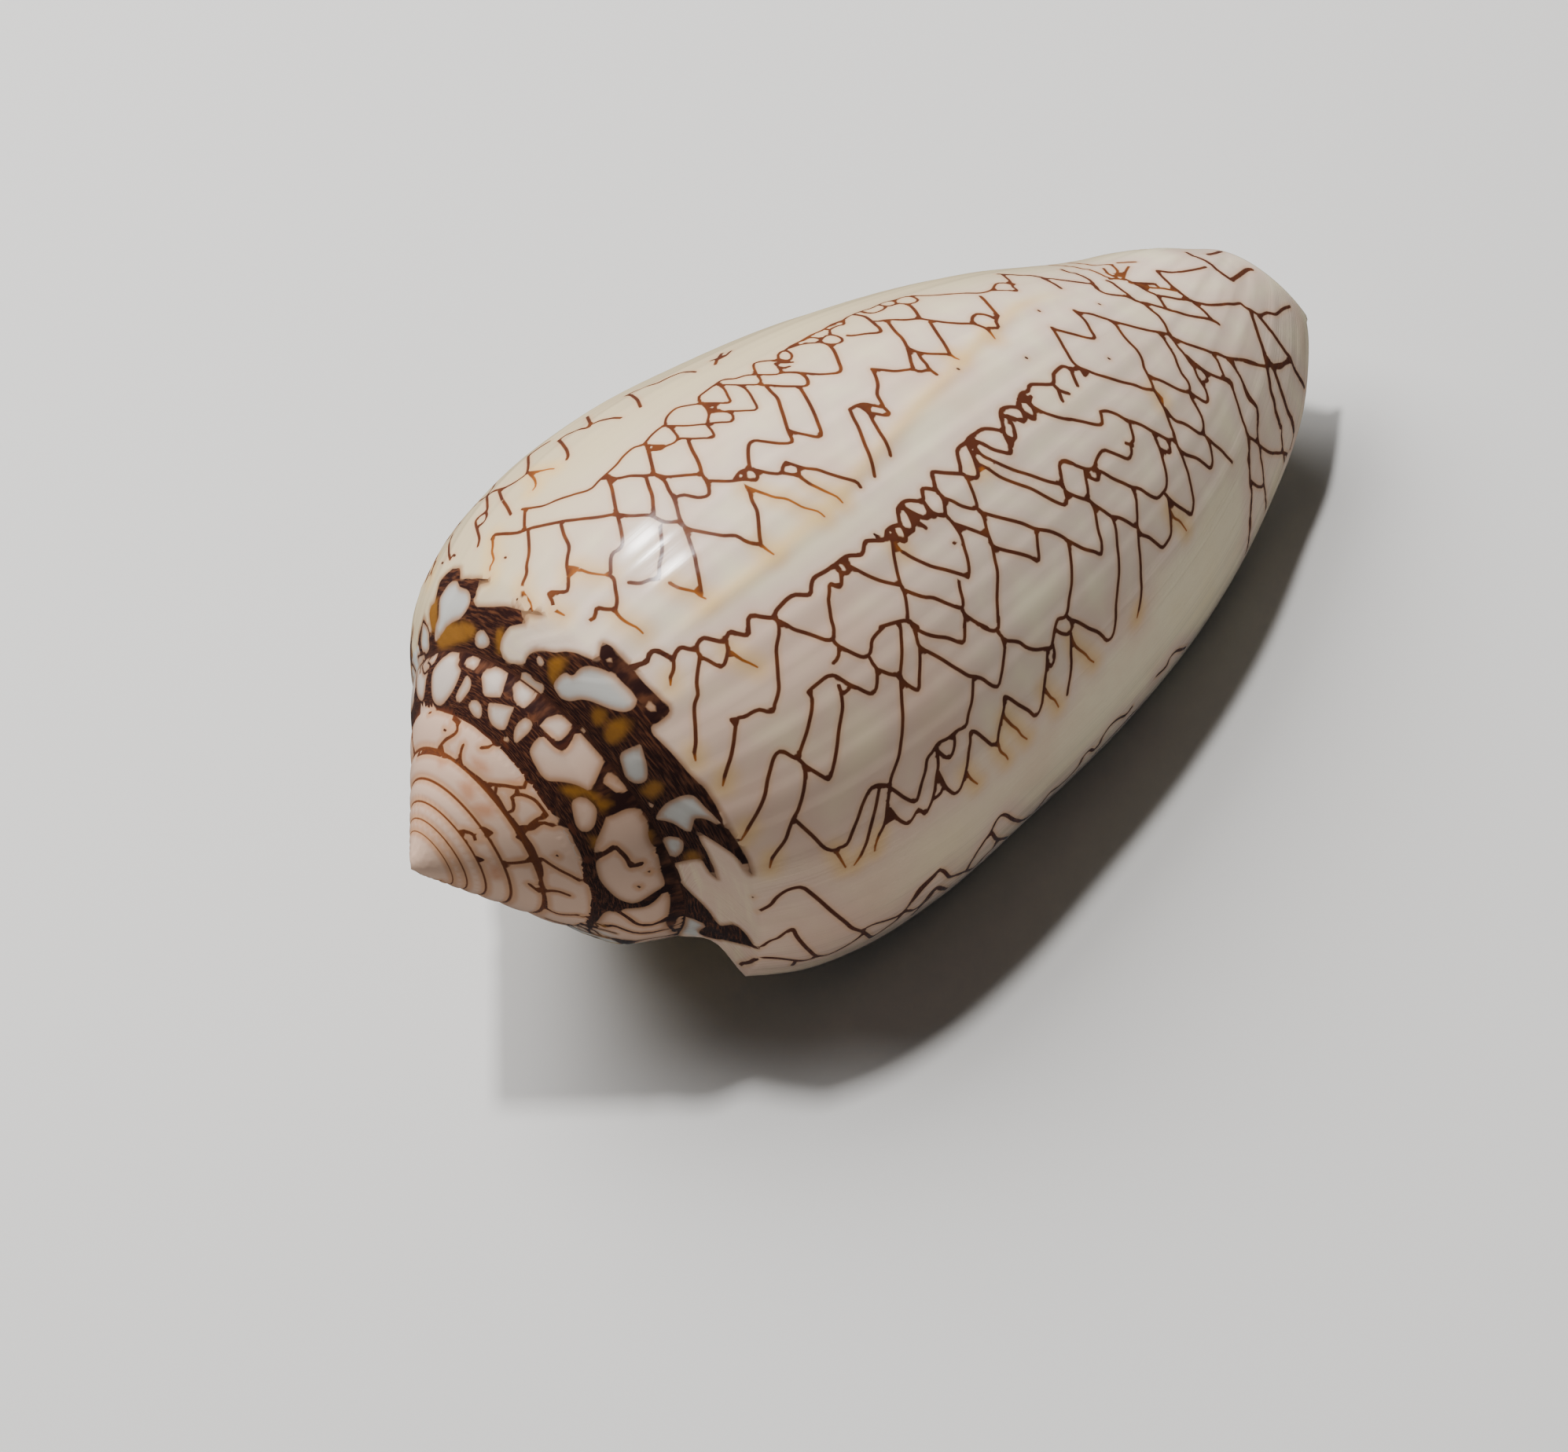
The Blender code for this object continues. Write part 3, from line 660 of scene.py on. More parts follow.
RIGHT_LINES = (
    "1558,481 1567,486 1569,496 1573,508 1577,520 1580,530 1583,540 1585,550 1589,556 1590,572 1588,584 "
    "1590,596 1590,612 1592,626 1591,640 1591,652 1590,668 1589,684 1586,700",
    "1589,556 1598,562 1604,568 1612,574 1620,577 1632,576 1638,578",
    "1564,460 1572,470 1580,484 1584,496 1589,508 1598,518 1600,528 1600,546 1601,560 1603,572 1605,588 "
    "1607,604 1609,620 1610,632 1610,650",
    "1592,613 1597,617 1600,619 1607,620",
    "1626,538 1631,544 1631,556 1632,572 1634,588",
    "1644,532 1646,546 1645,560 1642,572",
    "1578,458 1590,462 1598,464 1610,466 1620,465 1636,462",
)
THIRD_FRONT_ON = (
    "1440,900 1432,910 1422,915 1412,924 1404,936 1398,947 1392,954 1386,955 1378,964 1372,974 1364,984 "
    "1354,994 1346,1001 1336,1008 1328,1018 1320,1028 1314,1038 1300,1044 1292,1044 1284,1040 1278,1037 "
    "1272,1039 1266,1048 1261,1060 1252,1072 1242,1086 1234,1100 1228,1108 1216,1114 1208,1116 1202,1110 "
    "1195,1108 1190,1116 1182,1124 1172,1134 1160,1148",
    "1448,902 1440,912 1404,948 1394,958 1380,974 1370,982 1352,1000 1336,1016 1320,1032",
    "1262,1060 1268,1068 1276,1067 1284,1067",
    "1268,1070 1262,1080 1252,1090 1240,1106 1230,1108",
    "1190,1130 1204,1131",
    "1190,1132 1182,1142 1172,1152 1160,1164",
    "1508,824 1496,829 1488,838 1484,848 1472,860",
)
# Dark band on the shoulder: its outline, the pale cells in it, lines over them, golden parts
SHOULDER_BAND = (
    "528,860 530,845 531,825 534,805 540,788 548,810 549,800 547,790 546,782 548,772 553,766 556,754 "
    "560,740 568,730 576,723 586,724 586,738 600,737 624,737 622,740 610,743 606,750 605,758 602,764 "
    "606,773 620,773 632,772 644,772 656,774 668,778 680,778 686,779 691,783 684,783 672,781 664,785 "
    "668,790 668,794 656,796 648,798 642,806 638,814 636,826 640,838 648,845 660,846 668,845 669,840 "
    "672,834 680,829 692,828 706,831 720,829 732,831 744,836 756,841 763,841 763,830 765,820 768,818 "
    "778,823 788,834 798,844 804,848 810,858 820,870 832,882 842,892 850,898 852,905 849,910 840,918 "
    "828,924 830,934 840,944 852,956 864,970 876,984 886,994 896,1002 904,1014 914,1030 920,1042 926,1054 "
    "934,1066 944,1082 952,1096 956,1112 946,1102 940,1094 932,1086 920,1078 908,1070 898,1064 888,1058 "
    "890,1068 896,1080 902,1092 908,1104 912,1118 904,1112 898,1102 892,1093 880,1094 868,1096 858,1098 "
    "856,1110 860,1120 870,1128 880,1138 892,1149 902,1160 910,1172 916,1178 924,1178 932,1176 940,1180 "
    "950,1190 960,1206 946,1202 930,1198 914,1196 896,1194"
)
BAND_CELLS = (
    "532,836 540,831 548,838 549,850 545,866 543,884 539,896 533,890 531,866",
    "636,936 646,938 650,946 646,950 640,944",
    "582,738 572,741 564,751 559,760 558,772 557,786 553,798 552,810 554,818 561,811 568,801 578,792 "
    "588,787 595,778 599,768 599,756 595,749 586,746",
    "539,792 545,800 547,815 546,828 541,834 536,826 535,812 537,798",
    "611,800 606,804 603,812 603,820 608,826 616,827 623,822 624,814 620,806 615,800",
    "594,840 596,834 604,832 612,836 614,842 608,848 600,848",
    "574,829 586,829 589,840 588,856 582,876 574,890 564,900 556,900 551,892 550,876 551,858 556,846 "
    "564,834",
    "550,826 560,830 556,840 550,850 542,860 538,850 540,840",
    "596,860 601,868 600,880 594,890 586,899 579,896 582,884 588,872 592,862",
    "622,847 632,846 644,848 649,858 650,872 648,886 638,890 624,891 615,888 613,876 613,860 616,851",
    "656,860 664,854 674,856 680,864 692,870 694,878 686,886 678,894 668,896 660,888 658,874",
    "684,833 690,836 694,844 690,850 684,848 681,840",
    "705,866 712,858 720,854 728,858 736,850 748,846 764,849 780,856 794,868 806,880 812,892 808,902 "
    "796,908 782,906 768,901 754,895 740,892 726,894 714,890 706,880 703,872",
    "600,893 608,893 614,900 615,910 612,918 604,916 597,906 596,898",
    "622,896 636,896 648,898 658,901 652,910 648,922 644,932 634,932 624,924 620,910",
    "670,912 678,915 679,924 674,934 664,944 656,950 652,944 653,930 660,918",
    "690,909 704,907 720,908 728,912 731,920 728,932 722,938 712,936 702,928 692,918",
    "688,934 700,937 716,942 726,947 731,938 735,922 742,924 750,936 760,950 768,960 771,970 768,984 "
    "764,1000 756,1008 744,1006 730,1000 712,997 696,996 686,988 680,978 674,966 672,956 678,944",
    "790,956 802,950 814,945 819,954 823,968 826,982 824,994 814,999 802,996 794,988 790,976 787,964",
    "778,980 788,990 798,1000 800,1008 790,1010 778,1000 770,992 772,984",
    "824,1017 832,1018 833,1026 828,1030 824,1024",
    "834,1036 840,1028 848,1020 862,1013 878,1010 888,1015 898,1026 908,1036 916,1046 920,1054 910,1050 "
    "898,1044 886,1043 883,1052 880,1060 870,1058 858,1050 846,1046 834,1044",
    "846,1063 858,1064 868,1067 871,1076 868,1086 860,1092 852,1092 846,1082 843,1070",
    "774,1036 786,1032 800,1026 814,1028 820,1038 826,1048 828,1062 832,1072 838,1080 842,1094 844,1106 "
    "848,1118 848,1127 838,1134 828,1141 816,1147 804,1149 792,1146 780,1140 768,1129 760,1119 756,1109 "
    "754,1098 756,1090 752,1080 754,1070 760,1058 766,1046",
    "770,836 780,836 790,842 802,852 796,852 784,846 772,842",
    "820,894 826,888 832,894 840,902 838,908 830,907 822,901",
    "861,1168 868,1164 880,1168 892,1173 900,1178 894,1184 886,1192 872,1189 860,1186 856,1184",
    "758,1172 764,1162 772,1157 782,1158 790,1154 796,1153 804,1153 816,1153 828,1150 838,1142 846,1132 "
    "854,1136 855,1152 852,1166 850,1172 852,1178 858,1184 866,1188 850,1191 824,1195 800,1197 770,1193 "
    "750,1186 752,1178",
    "724,1022 732,1014 742,1013 752,1019 760,1030 758,1046 752,1056 742,1060 734,1056 728,1046",
    "675,1059 687,1049 703,1052 721,1052 727,1062 731,1072 738,1085 741,1095 737,1107 731,1111 "
    "717,1108 702,1098 687,1089 679,1075",
    "698,1138 710,1141 722,1140 728,1134 740,1130 750,1128 753,1140 751,1152 744,1160 732,1161 "
    "720,1160 706,1160 697,1152",
    "692,1100 704,1109 716,1116 728,1122 742,1127 730,1129 722,1134 708,1130 694,1129 690,1115",
    "700,1048 716,1046 712,1040 704,1036 697,1040",
    "764,1000 772,1004 776,1010 768,1012 760,1010",
)
BAND_LINES = (
    "694,934 706,936 718,941 726,945 730,936 732,922",
    "751,1093 760,1088 770,1083 780,1077 786,1081 794,1089 800,1095 808,1100 818,1098 821,1097",
    "770,1152 776,1154 788,1160 800,1168 808,1174 820,1177 832,1176 842,1172 850,1167",
    "768,1179 780,1178 792,1182 804,1186 820,1187 832,1186 844,1183",
    "804,848 816,845 824,841 826,832 834,828 844,832 856,839",
    "900,1018 910,1032 918,1046",
)
GOLD_PATCHES = (
    "712,1004 730,1000 748,1004 772,1012 784,1018 776,1028 764,1030 752,1018 740,1012 726,1016",
    "750,1064 766,1070 752,1078",
    "546,764 556,764 556,798 548,800",
    "700,840 716,837 718,848 712,858 704,870 699,864 698,850",
    "756,904 766,903 771,910 768,920 758,922 753,914",
    "778,918 790,914 800,917 798,930 786,944 776,946 769,938 772,926",
    "830,994 840,996 842,1004 834,1014 826,1016 817,1010 820,1002",
    "876,1084 886,1084 892,1094 880,1096 870,1094",
    "632,804 640,804 640,828 632,828",
    "558,800 600,795 600,812 572,822 558,822",
    "820,1058 830,1058 830,1075 822,1075",
    "852,894 856,884 862,880 866,888 860,896",
)
# Spire: its sutures and the marks between them
SPIRE_SUTURES = (
    "546,908 556,903 568,906 584,912 600,920 614,930 626,939 636,942 648,954 660,966 670,978 680,992 "
    "690,1008 700,1020 712,1036 726,1056 732,1066 740,1082 744,1100 750,1125 755,1150 752,1172",
    "532,963 552,960 565,962 577,967 587,973 597,982 608,990 617,998 627,1008 635,1018 643,1032 652,1043 "
    "660,1053 668,1065 677,1078 682,1090 687,1100 689,1112 689,1125 693,1140 694,1154",
)
SPIRE_STAINS = (
    "584,998 600,996 606,1008 600,1020 590,1016",
    "600,1025 628,1025 626,1040 606,1040",
    "583,1098 593,1098 594,1127 582,1127",
    "655,1092 682,1088 683,1096 656,1100",
    "645,995 665,991 672,1003 650,1008",
    "556,962 566,960 570,972 560,978",
    "600,966 616,972 622,986 606,982",
    "540,1075 552,1082 556,1094 546,1090",
    "622,1100 636,1104 638,1118 624,1116",
)
SPIRE_MARKS = (
    "578,913 582,922 582,932 577,938 568,944 560,952 553,958",
    "630,947 622,951 612,953",
    "590,950 587,958 586,967",
    "672,983 677,990",
    "673,983 670,993 667,1002",
    "617,998 630,1000 643,1001 657,1003 667,1002",
    "650,1016 653,1024 652,1031",
    "655,1012 665,1012 680,1018 694,1030 699,1036",
    "697,1037 684,1042 674,1049 668,1056",
    "677,993 685,993 693,1003 702,1017 710,1027",
    "676,1055 689,1047 703,1050 722,1050 728,1060",
    "688,1092 700,1100 712,1107 726,1114 742,1121",
    "643,1098 660,1097 677,1094 685,1095",
    "692,1134 700,1132 710,1133 723,1138",
    "694,1155 706,1160 720,1162 734,1163 748,1168",
    "590,1058 601,1062 604,1068",
    "617,1055 625,1060",
    "672,1124 688,1135",
    "585,1100 587,1112 590,1126",
)


def smooth_step(x):
    """Rises softly from 0 to 1 while x does."""
    x = np.clip(x, 0.0, 1.0)
    return x * x * (3.0 - 2.0 * x)


def through_points(places, values, x):
    """Smooth curve through the values at the places."""
    places = np.asarray(places, float)
    values = np.asarray(values, float)
    gap = np.diff(places)
    slope = np.diff(values) / gap
    tangent = np.empty_like(values)
    tangent[1:-1] = (slope[:-1] * gap[1:] + slope[1:] * gap[:-1]) / (gap[:-1] + gap[1:])
    tangent[0] = 1.5 * slope[0] - 0.5 * tangent[1]
    tangent[-1] = 1.5 * slope[-1] - 0.5 * tangent[-2]
    span = np.clip(np.searchsorted(places, x, side="right") - 1, 0, len(gap) - 1)
    s = (x - places[span]) / gap[span]
    rise = (2.0 * s ** 3 - 3.0 * s ** 2 + 1.0) * values[span]
    rise = rise + (s ** 3 - 2.0 * s ** 2 + s) * tangent[span] * gap[span]
    rise = rise + (3.0 * s ** 2 - 2.0 * s ** 3) * values[span + 1]
    return rise + (s ** 3 - s ** 2) * tangent[span + 1] * gap[span]


def log_growth(angle):
    """Logarithm of the size at a growth angle; the lip is at angle 0 and has size 1."""
    early = np.log(EARLY_GROWTH) / TURN
    late = np.log(LATE_GROWTH) / TURN

    def grown(a):
        """The logarithm, but for a constant."""
        x = np.clip((a - GROWTH_CHANGE_FROM) / GROWTH_CHANGE_SPAN, 0.0, 1.0)
        past = np.maximum(a - GROWTH_CHANGE_FROM - GROWTH_CHANGE_SPAN, 0.0)
        return early * a + (late - early) * (GROWTH_CHANGE_SPAN * (x ** 3 - 0.5 * x ** 4) + past)

    return grown(np.asarray(angle, float)) - grown(0.0)


def body_curve(angle, level):
    """Height and radius of the last whorl's side, from shoulder (level 0) to front end (1)."""
    outline = np.array(BODY_OUTLINE)
    girth = np.array(GIRTH_GROWTH)
    size = log_growth(angle)
    radius = through_points(outline[:, 0], outline[:, 2], level)
    radius = radius * np.exp(size * through_points(girth[:, 0], girth[:, 1], level))
    shoulder = SHOULDER_HEIGHT * np.exp(size)
    retreat = FRONT_RETREAT * (1.0 - np.exp(FRONT_RETREAT_RATE * np.asarray(angle) / TURN))
    along = through_points(outline[:, 0], outline[:, 1], level)
    height = shoulder + (LENGTH * (1.0 - retreat) - shoulder) * along
    return height, radius


def suture_level(angle):
    """Level on the whorl before at which the whorl at this angle is joined to it."""
    early = SUTURE_EARLY * np.exp(log_growth(angle))
    x = (angle + SUTURE_DESCENT_SPAN) / SUTURE_DESCENT_SPAN
    return early + (SUTURE_LATE - early) * smooth_step(x)


def ramp_curve(angle, part):
    """Height and radius of the ramp, from the suture (part 0) to the shoulder (part 1)."""
    h0, r0 = body_curve(angle - TURN, suture_level(angle))
    h3, r3 = body_curve(angle, np.zeros_like(angle))
    h4, r4 = body_curve(angle, np.full_like(angle, BESIDE_SHOULDER))
    chord = np.hypot(h3 - h0, r3 - r0)
    chord_turn = np.arctan2(r3 - r0, h3 - h0)
    body_turn = np.arctan2(r4 - r3, h4 - h3)
    hollow = smooth_step((angle + RAMP_HOLLOW_SPAN) / RAMP_HOLLOW_SPAN)
    start = chord_turn - RAMP_HOLLOW_SUTURE * hollow
    young = smooth_step(-angle / TURN - 0.5)
    turn_in = RAMP_TURN_IN + (RAMP_TURN_IN_EARLY - RAMP_TURN_IN) * young
    rounded = chord_turn + (body_turn - chord_turn) * turn_in
    end = (1.0 - hollow) * rounded + hollow * (chord_turn + RAMP_HOLLOW_SHOULDER)
    h1 = h0 + np.cos(start) * chord * RAMP_HANDLE_SUTURE
    r1 = r0 + np.sin(start) * chord * RAMP_HANDLE_SUTURE
    h2 = h3 - np.cos(end) * chord * RAMP_HANDLE_SHOULDER
    r2 = r3 - np.sin(end) * chord * RAMP_HANDLE_SHOULDER
    a, b = (1.0 - part) ** 3, 3.0 * part * (1.0 - part) ** 2
    c, d = 3.0 * part ** 2 * (1.0 - part), part ** 3
    return a * h0 + b * h1 + c * h2 + d * h3, a * r0 + b * r1 + c * r2 + d * r3


def line_shift(part, level):
    """How far a growth line lies from its own angle, on the ramp and along the body."""
    curl = np.clip((level - LINE_CURL_FROM) / (1.0 - LINE_CURL_FROM), 0.0, 1.0)
    notch = NOTCH_DEPTH * np.sin(np.pi * part) ** 2
    return -notch - LINE_TRAIL * level ** 2 - LINE_CURL * curl ** 2.5


def at_axis(height, radius, turn):
    """Point of the coil in its own frame: the axis is X, and growth turns from Y to Z."""
    return np.stack((height, radius * np.cos(turn), radius * np.sin(turn)), axis=-1)


def outside(angle, q):
    """Height, radius and turn of the outside; q runs from the suture (-1) by the shoulder (0)
    to the front end (1)."""
    angle, q = np.broadcast_arrays(np.asarray(angle, float), np.asarray(q, float))
    part = np.clip(q + 1.0, 0.0, 1.0)
    level = np.clip(q, 0.0, 1.0)
    turn = angle + line_shift(part, level)
    ramp_h, ramp_r = ramp_curve(turn, part)
    body_h, body_r = body_curve(turn, level)
    on_ramp = q < 0.0
    return np.where(on_ramp, ramp_h, body_h), np.where(on_ramp, ramp_r, body_r), turn


def spot(angle, q):
    """Point of the outside in the coil's own frame."""
    return at_axis(*outside(angle, q))


def rest_frame():
    """Turns the coil so that its mouth faces down, and moves it to where it lies."""
    roll = Matrix.Rotation(-0.5 * np.pi - REST_ROLL, 4, "X")
    pitch = Matrix.Rotation(REST_PITCH, 4, "Y")
    return Matrix.Translation(POLE) @ pitch @ roll


def suture_spot(angle):
    """Where the whorl at this angle is joined to the whorl before."""
    return spot(angle - TURN, suture_level(np.minimum(angle, 0.0)))


def flat_table():
    """Levels q and the matching distance along the outline, counted in local radii."""
    q = np.linspace(-1.0, 1.0, FLAT_POINTS)
    height, radius, _ = outside(np.full(len(q), REFERENCE_ANGLE), q)
    step = np.hypot(np.diff(height), np.diff(radius)) / (0.5 * (radius[1:] + radius[:-1]))
    along = np.concatenate(((0.0,), np.cumsum(step)))
    return q, along - np.interp(0.0, q, along)


FLAT_Q, FLAT_U = flat_table()


def to_flat(angle, q):
    """Turn and distance along the outline: a flat map of the surface that keeps its angles."""
    turn = angle + line_shift(np.clip(q + 1.0, 0.0, 1.0), np.clip(q, 0.0, 1.0))
    return turn, np.interp(q, FLAT_Q, FLAT_U)


def from_flat(turn, u):
    """Growth angle and level of a place in the flat map."""
    q = np.interp(u, FLAT_U, FLAT_Q)
    return turn - line_shift(np.clip(q + 1.0, 0.0, 1.0), np.clip(q, 0.0, 1.0)), q


def grid_faces(numbers):
    """Triangles of a grid of points, given row by row."""
    a, b = numbers[:-1, :-1].ravel(), numbers[1:, :-1].ravel()
    c, d = numbers[1:, 1:].ravel(), numbers[:-1, 1:].ravel()
    return np.concatenate((np.stack((a, b, c), 1), np.stack((a, c, d), 1)))


class Surface:
    """Points with their growth coordinates, and triangles between them."""

    def __init__(self):
        self.places, self.angles, self.levels = [], [], []
        self.inside, self.charts, self.triangles = [], [], []
        self.count = 0

    def add(self, places, angle, q, chart, inside=0.0):
        """Adds points and gives the number of each."""
        places = np.asarray(places, float).reshape(-1, 3)
        size = len(places)
        self.places.append(places)
        self.angles.append(np.broadcast_to(np.asarray(angle, float), size))
        self.levels.append(np.broadcast_to(np.asarray(q, float), size))
        self.inside.append(np.broadcast_to(np.asarray(inside, float), size))
        self.charts.append(np.asarray(chart, float).reshape(-1, 2))
        first = self.count
        self.count += size
        return np.arange(first, first + size)

    def add_triangles(self, corners):
        """Adds triangles between numbered points."""
        self.triangles.append(np.asarray(corners, int).reshape(-1, 3))

    def add_grid(self, numbers, flip=False):
        """Adds the triangles of a grid."""
        faces = grid_faces(numbers)
        self.add_triangles(faces[:, ::-1] if flip else faces)

    def add_web(self, numbers, plane, rim_size, chain, flip=False):
        """Triangles between loose points of a flat map; the first points are its closed rim."""
        edges = [(k, (k + 1) % rim_size) for k in range(rim_size)] + chain
        found = delaunay_2d_cdt([Vector(p) for p in plane], edges, [], 1, WELD)
        corners = np.array([numbers[[found[3][k][0] for k in face]] for face in found[2]])
        self.add_triangles(corners[:, ::-1] if flip else corners)


def edge_levels():
    """Rows on the body at the lip: the part joined to the whorl before, the seam, the rest."""
    x = np.linspace(0.0, 1.0, BODY_EDGE_ROWS + 1)
    rest = SEAM_END + (1.0 - SEAM_END) * (x - EDGE_CROWDING * np.sin(TURN * x))
    seam = np.linspace(SUTURE_LATE, SEAM_END, LIP_STRIPS + 1)
    return np.concatenate(((0.0, 0.5 * SUTURE_LATE), seam, rest[1:]))


def chart_body(turn, u):
    """Place of the last whorl in the texture: growth to the right, front end up."""
    left, low, width, height = CHART_BODY
    along = (turn + CHART_BODY_START) / CHART_BODY_SPAN
    return np.stack((left + width * along, low + height * u / FLAT_U[-1]), -1)


def chart_disc(places):
    """Place of the spire in the texture, as seen from the apex."""
    return places[:, 1:] * CHART_SPIRE_SCALE + CHART_SPIRE_MIDDLE


def chart_patch(rows, columns, left, low, width, height):
    """A rectangle of the texture for a grid of points."""
    x, y = np.meshgrid(np.linspace(0.0, 1.0, columns), np.linspace(0.0, 1.0, rows))
    return np.stack((left + width * x, low + height * y), -1).reshape(-1, 2)


def thinned(angle, q, taken, reach):
    """Leaves out the points that stand closer than the reach to the points already taken."""
    tree = KDTree(len(taken))
    for k, place in enumerate(taken):
        tree.insert(place, k)
    tree.balance()
    free = np.array([tree.find(place)[2] > reach for place in spot(angle, q)])
    return angle[free], q[free]


def body_base():
    """Loose points all over the last whorl below the shoulder."""
    angles, levels = [], []
    u = 0.0
    row = 0
    while True:
        radius = outside(REFERENCE_ANGLE, np.interp(u, FLAT_U, FLAT_Q))[1]
        u += ROW_RATIO * SPACING / radius
        if u > FLAT_U[-1] - 0.6 * SPACING / radius:
            break
        q = float(np.interp(u, FLAT_U, FLAT_Q))
        step = SPACING / radius
        count = int(TURN / step)
        angle = -TURN + step * (np.arange(1, count) + 0.5 * (row % 2)) * TURN / (count * step)
        angles.append(angle[angle < -0.5 * step])
        levels.append(np.full(len(angles[-1]), q))
        row += 1
    return np.concatenate(angles), np.concatenate(levels)


def spire_base():
    """Loose points over the ramps, and the line of the suture from the lip to the apex."""
    angles, levels, suture = [], [], []
    angle = 0.0
    row = 0
    while angle > -SPIRE_TURNS * TURN:
        top = 0.0 if angle > -TURN else float(suture_level(angle + TURN))
        fine_q = np.linspace(-1.0, top, SECTION_POINTS)
        height, radius, _ = outside(np.full(SECTION_POINTS, angle), fine_q)
        along = np.concatenate(((0.0,), np.cumsum(np.hypot(np.diff(height), np.diff(radius)))))
        count = max(2, int(round(along[-1] / SPACING)))
        q = np.interp(along[-1] * (np.arange(1, count) - 0.25 + 0.5 * (row % 2)) / count, along, fine_q)
        if -SPACING < (angle + TURN) * radius[-1] < SPACING or angle > -0.5 * SPACING / radius[-1]:
            q = q[:0]
        angles.append(np.full(len(q), angle))
        levels.append(q)
        suture.append(angle)
        angle -= SPACING / radius[-1]
        row += 1
    return np.concatenate(angles), np.concatenate(levels), np.array(suture[1:])


def add_outside(surface, line_angle, line_q):
    """The outside of the shell: the last whorl below the shoulder, and the spire with the ramp."""
    lip_rows = edge_levels()
    ramp_rows = np.linspace(-1.0, 0.0, RAMP_EDGE_ROWS + 1)
    shoulder = np.linspace(-TURN, 0.0, SHOULDER_STEPS + 1)
    front = np.linspace(0.0, -TURN, EDGE_STEPS + 1)

    rim_angle = np.concatenate((shoulder, np.zeros(len(lip_rows) - 2), front,
                                np.full(len(lip_rows) - 2, -TURN)))
    rim_q = np.concatenate((np.zeros(len(shoulder)), lip_rows[1:-1], np.ones(len(front)),
                            lip_rows[1:-1][::-1]))
    line_places = spot(line_angle, line_q)
    base_angle, base_q = thinned(*body_base(), line_places, CLEAR * SPACING)
    on_body = (line_angle > -TURN + RIM_CLEAR_ANGLE) & (line_angle < -RIM_CLEAR_ANGLE)
    on_body &= (line_q > RIM_CLEAR_LEVEL) & (line_q < 1.0 - RIM_CLEAR_LEVEL)
    angle = np.concatenate((rim_angle, base_angle, line_angle[on_body]))
    q = np.concatenate((rim_q, base_q, line_q[on_body]))
    turn, u = to_flat(angle, q)
    numbers = surface.add(spot(angle, q), angle, q, chart_body(turn, u))
    surface.add_web(numbers, np.stack((turn, u), 1), len(rim_q), [])

    rim_angle = np.concatenate((shoulder, np.zeros(RAMP_EDGE_ROWS - 1), (-TURN, -TURN)))
    rim_q = np.concatenate((np.zeros(len(shoulder)), ramp_rows[1:-1][::-1], (SUTURE_LATE, lip_rows[1])))
    base_angle, base_q, suture = spire_base()
    base_angle, base_q = thinned(base_angle, base_q, line_places, CLEAR * SPACING)
    above = (line_q < -RAMP_CLEAR_SHOULDER) | (line_angle < -TURN)
    above &= (line_angle < -RIM_CLEAR_ANGLE) & (line_q > RAMP_CLEAR_SUTURE - 1.0)
    above &= np.abs(line_angle + TURN) > WHORL_CLEAR_ANGLE
    chain_q = suture_level(suture)
    angle = np.concatenate((rim_angle, suture - TURN, base_angle, line_angle[above]))
    q = np.concatenate((rim_q, chain_q, base_q, line_q[above]))
    apex = (spot(suture[-1] - TURN, -1.0)[0] - APEX_RISE, 0.0, 0.0)
    places = np.concatenate((spot(angle, q), (apex,)))
    first = len(rim_q)
    chain = np.arange(first, first + len(suture))
    chain = np.concatenate(((len(shoulder) + RAMP_EDGE_ROWS - 1,), chain))
    numbers = surface.add(places, np.append(angle, -SPIRE_TURNS * TURN), np.append(q, -1.0),
                          chart_disc(places))
    chain = np.stack((chain[:-1], chain[1:]), 1).tolist()
    surface.add_web(numbers, places[:, 1:] / MM, len(rim_q), chain, flip=True)
    return lip_rows, ramp_rows


def inner_section(angle, q, wall):
    """Points of the inside of the outer wall, over the outside of the whorl before."""
    height, radius, turn = outside(np.full(len(q), angle), q)
    wall_height, wall_radius, _ = wall
    slope_h = np.gradient(height)
    slope_r = np.gradient(radius)
    length = np.hypot(slope_h, slope_r)
    deep = smooth_step(-angle / MOUTH_NARROWS_FROM)
    thick = LIP_THICKNESS + (WALL_THICKNESS - LIP_THICKNESS) * deep
    inside_h = np.clip(height + slope_r / length * thick, wall_height[0], None)
    inside_r = radius - slope_h / length * thick
    base = np.interp(inside_h, wall_height, wall_radius)
    row = np.interp(q, (-1.0, 0.0, SUTURE_LATE), (0.0, 0.75, 1.0))
    narrow = smooth_step((-angle - MOUTH_NARROWS_FROM) / (MOUTH_DEPTH - MOUTH_NARROWS_FROM))
    width = 1.0 - (1.0 - MOUTH_END_WIDTH) * narrow
    gap = np.maximum((inside_r - base) * width, SMALLEST_GAP * smooth_step(row))
    return inside_h, base + gap, turn


def wall_rows(angle, lip_rows):
    """Rows of the whorl before from the seam to the front end, as many as at the lip."""
    start = float(suture_level(min(angle + TURN, 0.0))) + EDGE_LEVEL
    share = (lip_rows[LIP_STRIPS + 2:] - SEAM_END) / (1.0 - SEAM_END)
    return start + (1.0 - start) * share


